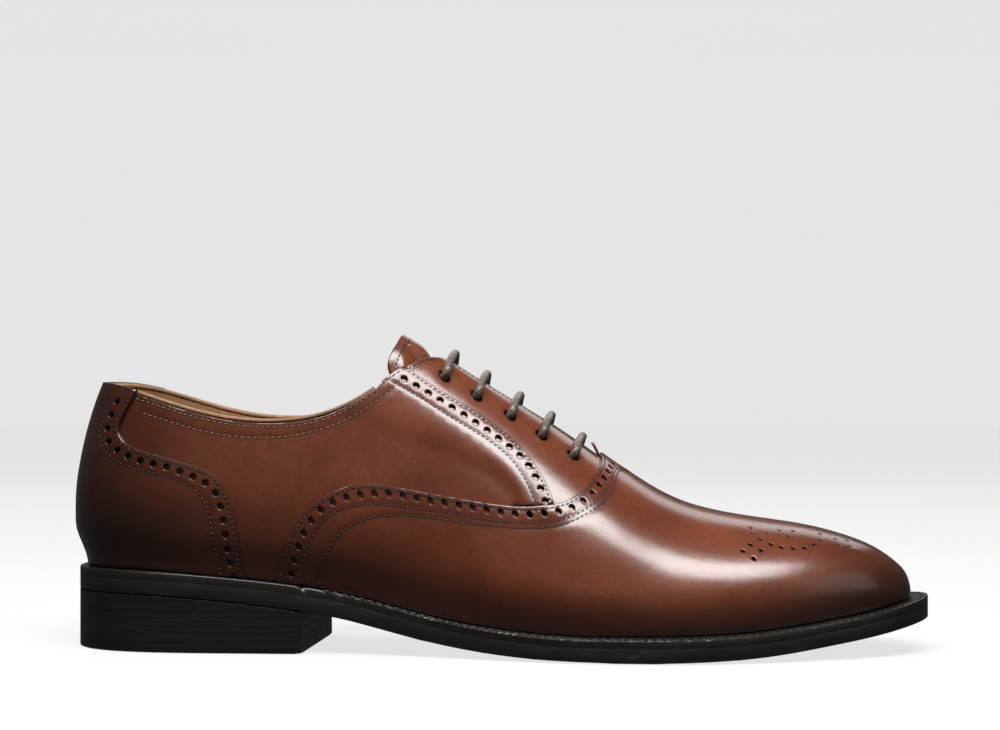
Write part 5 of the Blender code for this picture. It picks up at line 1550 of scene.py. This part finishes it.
def make_aglet(start, end, name):
    """Tip crimped onto the lace's end: slightly waisted, with a rounded point."""
    outline = ((0.0, 0.80), (0.0, 0.96), (0.03, 1.0), (0.20, 1.0), (0.24, 0.93), (0.30, 0.93),
               (0.34, 0.99), (0.70, 0.96), (0.93, 0.88), (0.98, 0.70), (1.0, 0.35))
    axis = end - start
    first = unit(np.cross(axis, (0.0, 0.0, 1.0)))
    around = spokes(first, unit(np.cross(axis, first)), 18)
    rings = np.array([start + axis * share + around * AGLET * radius for share, radius in outline])
    return show(loft(f"aglet_tip_{name}", rings, "aglet"), "aglet_plastic", f"aglet_{name}")


# -- tongue
def make_tongue():
    """Tongue: stitched in at the throat, its free end above the facings, stitched near its tip."""
    half = [(117.6, 8), (115.2, 17), (114.9, 22), (117, 25.5), (124, 26), (140, 25), (160, 23.5),
            (180, 21.5), (192, 19.5), (196, 15)]
    half = np.array([(ridge_at(x), s) for x, s in half])
    loop = smooth(joined((ridge_at(118.6), 0.0), half, (ridge_at(197.5), 0.0)), EDGE_STEP)
    outline = joined(loop[:-1], (loop * (1, -1))[::-1][:-1])
    row = np.array([(ridge_at(x), s) for x, s in ((121.5, 0), (120.6, 7), (119.0, 13), (117.6, 19.5))])
    row = smooth(joined((row * (1, -1))[::-1], row[1:]), EDGE_STEP)

    def depth(q):
        crown = 1.0 - ease(np.abs(q[:, 1]), 3.0, 8.0)
        free_end = 1.0 - ease(q[:, 0], ridge_at(118.6) + 7.0 * crown, ridge_at(131.0) + 8.0 * crown)
        rise = 5.0 - 2.0 * (q[:, 1] / 22.0) ** 2 + 0.8 * crown
        return TONGUE_TOP + rise * free_end + 3.2 * ease(q[:, 0], ridge_at(184), ridge_at(195))
    leather("tongue_calf", outline, from_ridge, depth, "upper", FINE, "upper_leather", "tongue",
            rows=[row], rim=0.4, thickness=lambda q: np.full(len(q), TONGUE_THICK), body="tongue")
    make_stitches("tongue_stitching", [row], from_ridge, depth, body="tongue")


def make_throat_tab():
    """Small upright end of leather where the facings meet at the throat."""
    line = smooth(((189.9, 64.6), (188.6, 68.6), (186.2, 73.4)), 0.5)
    ahead = unit(np.gradient(line, axis=0))
    share = np.linspace(0.0, 1.0, len(line))
    wide = 2.4 * np.sqrt(np.clip(1.02 - share ** 2, 0.0, 1.0)) * (1.0 - 0.45 * share)
    middle = float(centre_y(station(188.0)))
    rings = np.array([[(x + 0.5 * math.sin(a) * -dz, middle + w * math.cos(a), z + 0.5 * math.sin(a) * dx)
                       for a in turns(14)] for (x, z), (dx, dz), w in zip(line, ahead, wide)])
    # The tab takes an even middling burnish and an even share of the painted shade.
    level = np.full(rings.shape[0] * rings.shape[1], 0.35)
    show(loft("throat_tab", rings, "upper", {"burnish": level, "seam": level}), "edge_leather")


# -- bottom
sole_half = {LATERAL: profile(SOLE_LATERAL, 0.0, SOLE_LENGTH),
             MEDIAL: profile(SOLE_MEDIAL, 0.0, SOLE_LENGTH)}
bottom_z = plain_profile(SOLE_BOTTOM)
TIP_RISE = 0.22          # slope of the sole in front of the last
INSOLE_BED = 0.6         # the insole lies this far above the welt's top face
WELT_STITCH = 3.1
NAIL_HOLE = 1.4
CLOSED = 0.03            # gap left between the bottom's layers, which lie 0.3 mm apart in the frame


def sole_top(x):
    """Height of the welt's top face."""
    return feather_z(station(np.minimum(x, TOE_X))) + TIP_RISE * np.maximum(x - TOE_X, 0.0)


def sole_bottom(x):
    """Height of the outsole's walking face."""
    low = bottom_z(station(np.clip(x, HEEL_X, TOE_X))) + TIP_RISE * np.maximum(x - TOE_X, 0.0)
    return np.maximum(low, 0.0)


def breast(side):
    """Length of the heel's front face at one edge of the sole."""
    return HEEL_BREAST + side * BREAST_SLANT * 31.0


def sole_edge(start, end, side, count):
    """Points on the sole's edge between two lengths."""
    t = np.linspace(station(start, 0.0, SOLE_LENGTH), station(end, 0.0, SOLE_LENGTH), count)
    return np.stack([length_at(t, 0.0, SOLE_LENGTH), side * sole_half[side](t)], -1)


def whole_edge():
    """The sole's closed outline, from the heel along the lateral side."""
    return joined(sole_edge(0, SOLE_LENGTH, LATERAL, 150)[:-1],
                  sole_edge(SOLE_LENGTH, 0, MEDIAL, 150)[:-1])


def front_edge(count=130):
    """The sole's edge in front of the heel, lateral to medial."""
    return joined(sole_edge(breast(LATERAL) + 0.3, SOLE_LENGTH, LATERAL, count)[:-1],
                  sole_edge(SOLE_LENGTH, breast(MEDIAL) + 0.3, MEDIAL, count))


def heel_edge(count=60):
    """The sole's edge round the heel, medial to lateral."""
    return joined(sole_edge(breast(MEDIAL), 0, MEDIAL, count)[:-1],
                  sole_edge(0, breast(LATERAL), LATERAL, count))


def last_inset(depth):
    """Closed outline in plan at a depth inside the last's feather edge."""
    t = np.linspace(0.0, math.pi, 110)[1:-1]
    lateral, medial = (placed((t, np.full(len(t), side), np.zeros(len(t))), depth)
                       for side in (LATERAL, MEDIAL))
    return joined(lateral[:, :2], medial[::-1, :2])


def flat(level):
    """A height that is the same all over."""
    return lambda x: np.full(len(x), float(level))


def offset(surface, by):
    """A height function moved up."""
    return lambda x: surface(x) + by


def slab(name, outline, low, high, look, slot, node, rim, low_rim, holes=(), rows=(), under=None,
         sharp=CREASE):
    """Layer of the bottom over a plan outline, its edges rounded, that stands for a CAD node."""
    def top(q, drop):
        return np.column_stack([q, high(q[:, 0]) + channels(q, rows) - drop])

    def bottom(q, drop):
        return np.column_stack([q, low(q[:, 0]) + drop])
    piece = solid(name, outline, top, bottom, look, 5.0, holes, rows, rim, low_rim, sharp=sharp)
    if under:
        piece.data.materials.append(LOOKS[under])
        for face in piece.data.polygons:
            face.material_index = int(face.normal.z < -0.8)
    return show(piece, slot, node)


def make_welt_and_rand():
    """Welt round the forepart, stitched on its top face, and rand round the heel."""
    low, high = offset(sole_top, -WELT - SOLE_GAP + CLOSED), offset(sole_top, 0.0)
    front = front_edge()
    row = beside(front, 1.9)[3:-3]
    slab("welt_strip", joined(front, beside(front_edge(26), WELT_WIDTH)[::-1]), low, high, "sole",
         "sole_leather", "welt", 0.6, 0.06, rows=[row])
    heel = heel_edge()
    slab("heel_rand_strip", joined(heel, beside(heel_edge(11), WELT_WIDTH)[::-1]), low, high, "sole",
         "sole_leather", "heel_rand", 0.45, 0.06)
    places, ahead = spaced(row, WELT_STITCH, 2.0, 2.0)
    spots = np.column_stack([places, sole_top(places[:, 0]) - 0.10])
    further = np.column_stack([places + 0.2 * ahead, sole_top(places[:, 0] + 0.2 * ahead[:, 0]) - 0.10])
    upward = np.tile((0.0, 0.0, 1.0), (len(spots), 1))
    points, faces = stitch_mesh(spots, unit(further - spots), upward, 2.6, 0.7, 0.45)
    show(make_object("welt_stitching", points, faces, "welt_thread"), "lace_cotton")


def make_outsole():
    """Outsole from heel to toe, its edge trimmed round and its walking face ribbed."""
    slab("outsole_slab", whole_edge(), sole_bottom, offset(sole_top, -WELT - SOLE_GAP), "sole",
         "sole_leather", "outsole", 0.06, 0.8, under="face", sharp=30.0)


HEEL_LIFTS = (("heel_top_piece", 0.0, 5.9), ("heel_lift_lower", 5.9, 9.0),
              ("heel_lift_middle", 9.0, 12.1))


def nail_spots():
    """Seven nails in a horseshoe inside the heel's edge."""
    edge = beside(heel_edge(11), 9.0)
    share = np.linspace(0.07, 0.93, 7) * (len(edge) - 1)
    return np.stack([np.interp(share, range(len(edge)), edge[:, i]) for i in (0, 1)], -1)


def make_heel():
    """Stacked heel: top piece, two flat lifts and a wedge lift, seen as faint lines."""
    holes = [(spot, NAIL_HOLE) for spot in nail_spots()]
    for name, low, high in HEEL_LIFTS:
        slot = "heel_rubber" if low == 0.0 else "sole_leather"
        slab(f"{name}_slab", heel_edge(), flat(low), flat(high - CLOSED), "sole", slot, name, 0.09,
             0.6 if low == 0.0 else 0.09, holes, under="face", sharp=22.0)
    slab("heel_lift_upper_slab", heel_edge(), flat(12.1), offset(sole_bottom, -CLOSED), "sole",
         "sole_leather", "heel_lift_upper", 0.09, 0.09, sharp=22.0)


def make_sock_liner():
    """Sock liner over the insole, its rim turned down."""
    slab("sock_calf_liner", last_inset(-LINED - STEP - 1.4), offset(sole_top, INSOLE_BED + INSOLE),
         offset(sole_top, INSOLE_BED + INSOLE + SOCK), "sock", "lining_leather", "sock_liner", 0.5, 0.0)


KEPT = {"toe_puff": "board", "counter_stiffener": "board", "insole": "board", "cork_filler": "cork",
        "shank": "steel", **{f"heel_nail_{i}": "brass" for i in range(1, 8)}}


def finish_kept_nodes():
    """Materials on the frame's hidden pieces, which stay as they are."""
    for name, look in KEPT.items():
        frame["nodes"][name].material_slots[0].material = LOOKS[look]


# -- light and floor
FLOOR_GLOW = 0.74
WALL_GLOW = 0.85


def floor_look():
    """Matt light-table floor, glowing evenly from below, with a faint mottle."""
    look = Look("studio_floor")
    mottle = look.noise(3.0, 3.0, 0.5)
    fleck = look.noise(700.0, 2.0, 0.5)
    tone = look.blend(mottle, 0.3, 0.7, (0.165, 0.163, 0.16), (0.18, 0.179, 0.178))
    look.put(look.shader, "Emission Color", (1.0, 1.0, 1.0))
    look.put(look.shader, "Emission Strength", FLOOR_GLOW)
    return look.done(tone, 0.8, look.bump(fleck, 0.05, 0.2))


def wall_look():
    """Pale studio wall that glows evenly."""
    look = Look("studio_wall")
    tone = look.mixed(look.noise(0.5, 2.0, 0.5), (0.93, 0.925, 0.92), (0.90, 0.90, 0.90))
    look.put(look.shader, "Base Color", (0.0, 0.0, 0.0))
    look.put(look.shader, "Emission Color", tone)
    look.put(look.shader, "Emission Strength", WALL_GLOW)
    return look.made


def stage_piece(name, material, shape, **size):
    """Part of the stage round the shoe. The camera sees it, but it lights and mirrors nothing."""
    work = bmesh.new()
    shape(work, **size)
    mesh = bpy.data.meshes.new(name)
    work.to_mesh(mesh)
    work.free()
    mesh.materials.append(material)
    made = linked(name, mesh)
    made.location = to_world((*CAMERA_AIM, 0.0))
    for kind in ("glossy", "diffuse", "transmission", "shadow"):
        setattr(made, f"visible_{kind}", False)
    return made


def softbox(name, place, aim, size, power, colour=(1.0, 1.0, 1.0), mirrored=True):
    """Rectangular area light at a design point, turned to another, which gloss may mirror."""
    data = bpy.data.lights.new(name, "AREA")
    data.shape = "RECTANGLE"
    data.size, data.size_y = size
    data.energy = power
    data.color = colour
    lamp = linked(name, data)
    lamp.location = to_world(place)
    toward = Vector(to_world(aim)) - lamp.location
    lamp.rotation_euler = toward.to_track_quat("-Z", "Y").to_euler()
    lamp.visible_glossy = mirrored


def make_studio():
    """Overhead strip for the long streak, weak fills, a soft sun, floor and walls."""
    softbox("strip", (185, -430, 850), (165, -10, 60), (0.95, 0.30), 12.5)
    softbox("front_fill", (60, -1100, 420), (130, 0, 50), (1.0, 0.4), 0.12, (1.0, 0.97, 0.94))
    softbox("toe_fill", (1000, -500, 500), (200, 0, 50), (0.5, 0.5), 0.5)
    softbox("overhead", (170, 160, 1000), (160, 0, 60), (1.3, 0.55), 4.5, (1.0, 0.97, 0.93), False)
    softbox("rear_rim", (100, 900, 700), (150, 0, 60), (1.2, 0.4), 2.0)
    sun = bpy.data.lights.new("sun", "SUN")
    sun.energy = 0.2
    sun.angle = math.radians(50)
    lamp = linked("sun", sun)
    lamp.rotation_euler = (math.radians(22), math.radians(-8), 0.0)
    lamp.visible_glossy = False
    world = bpy.data.worlds.new("world")
    world.use_nodes = True
    sky = world.node_tree.nodes["Background"].inputs
    sky["Color"].default_value = (0.95, 0.97, 1.0, 1.0)
    sky["Strength"].default_value = 0.05
    bpy.context.scene.world = world
    bpy.context.scene.view_settings.view_transform = "Standard"
    floor = stage_piece("floor", floor_look(), bmesh.ops.create_circle, cap_ends=True, segments=96,
                        radius=3.2)
    walls = stage_piece("backdrop", wall_look(), bmesh.ops.create_uvsphere, u_segments=64,
                        v_segments=32, radius=3.1)


# -- assembly
def build():
    """The camera and the cords first, then the rest of the shoe and the studio."""
    make_camera()
    make_tail(3, LATERAL, WALL_LATERAL, FLOOR_LATERAL, "lateral")
    make_tail(4, MEDIAL, WALL_MEDIAL, FLOOR_MEDIAL, "medial")
    make_lace()
    make_vamp()
    make_vamp_lining()
    make_counter()
    make_heel_grip()
    make_binding()
    make_tongue()
    make_throat_tab()
    for side, name in SIDES:
        make_facing(side, name)
        make_quarter(side, name)
        make_quarter_lining(side, name)
        for row, spot in enumerate(eyelet_spots()):
            make_eyelet(side, spot, f"eyelet_{name}_{row + 1}")
    make_welt_and_rand()
    make_outsole()
    make_heel()
    make_sock_liner()
    finish_kept_nodes()
    make_studio()


build()
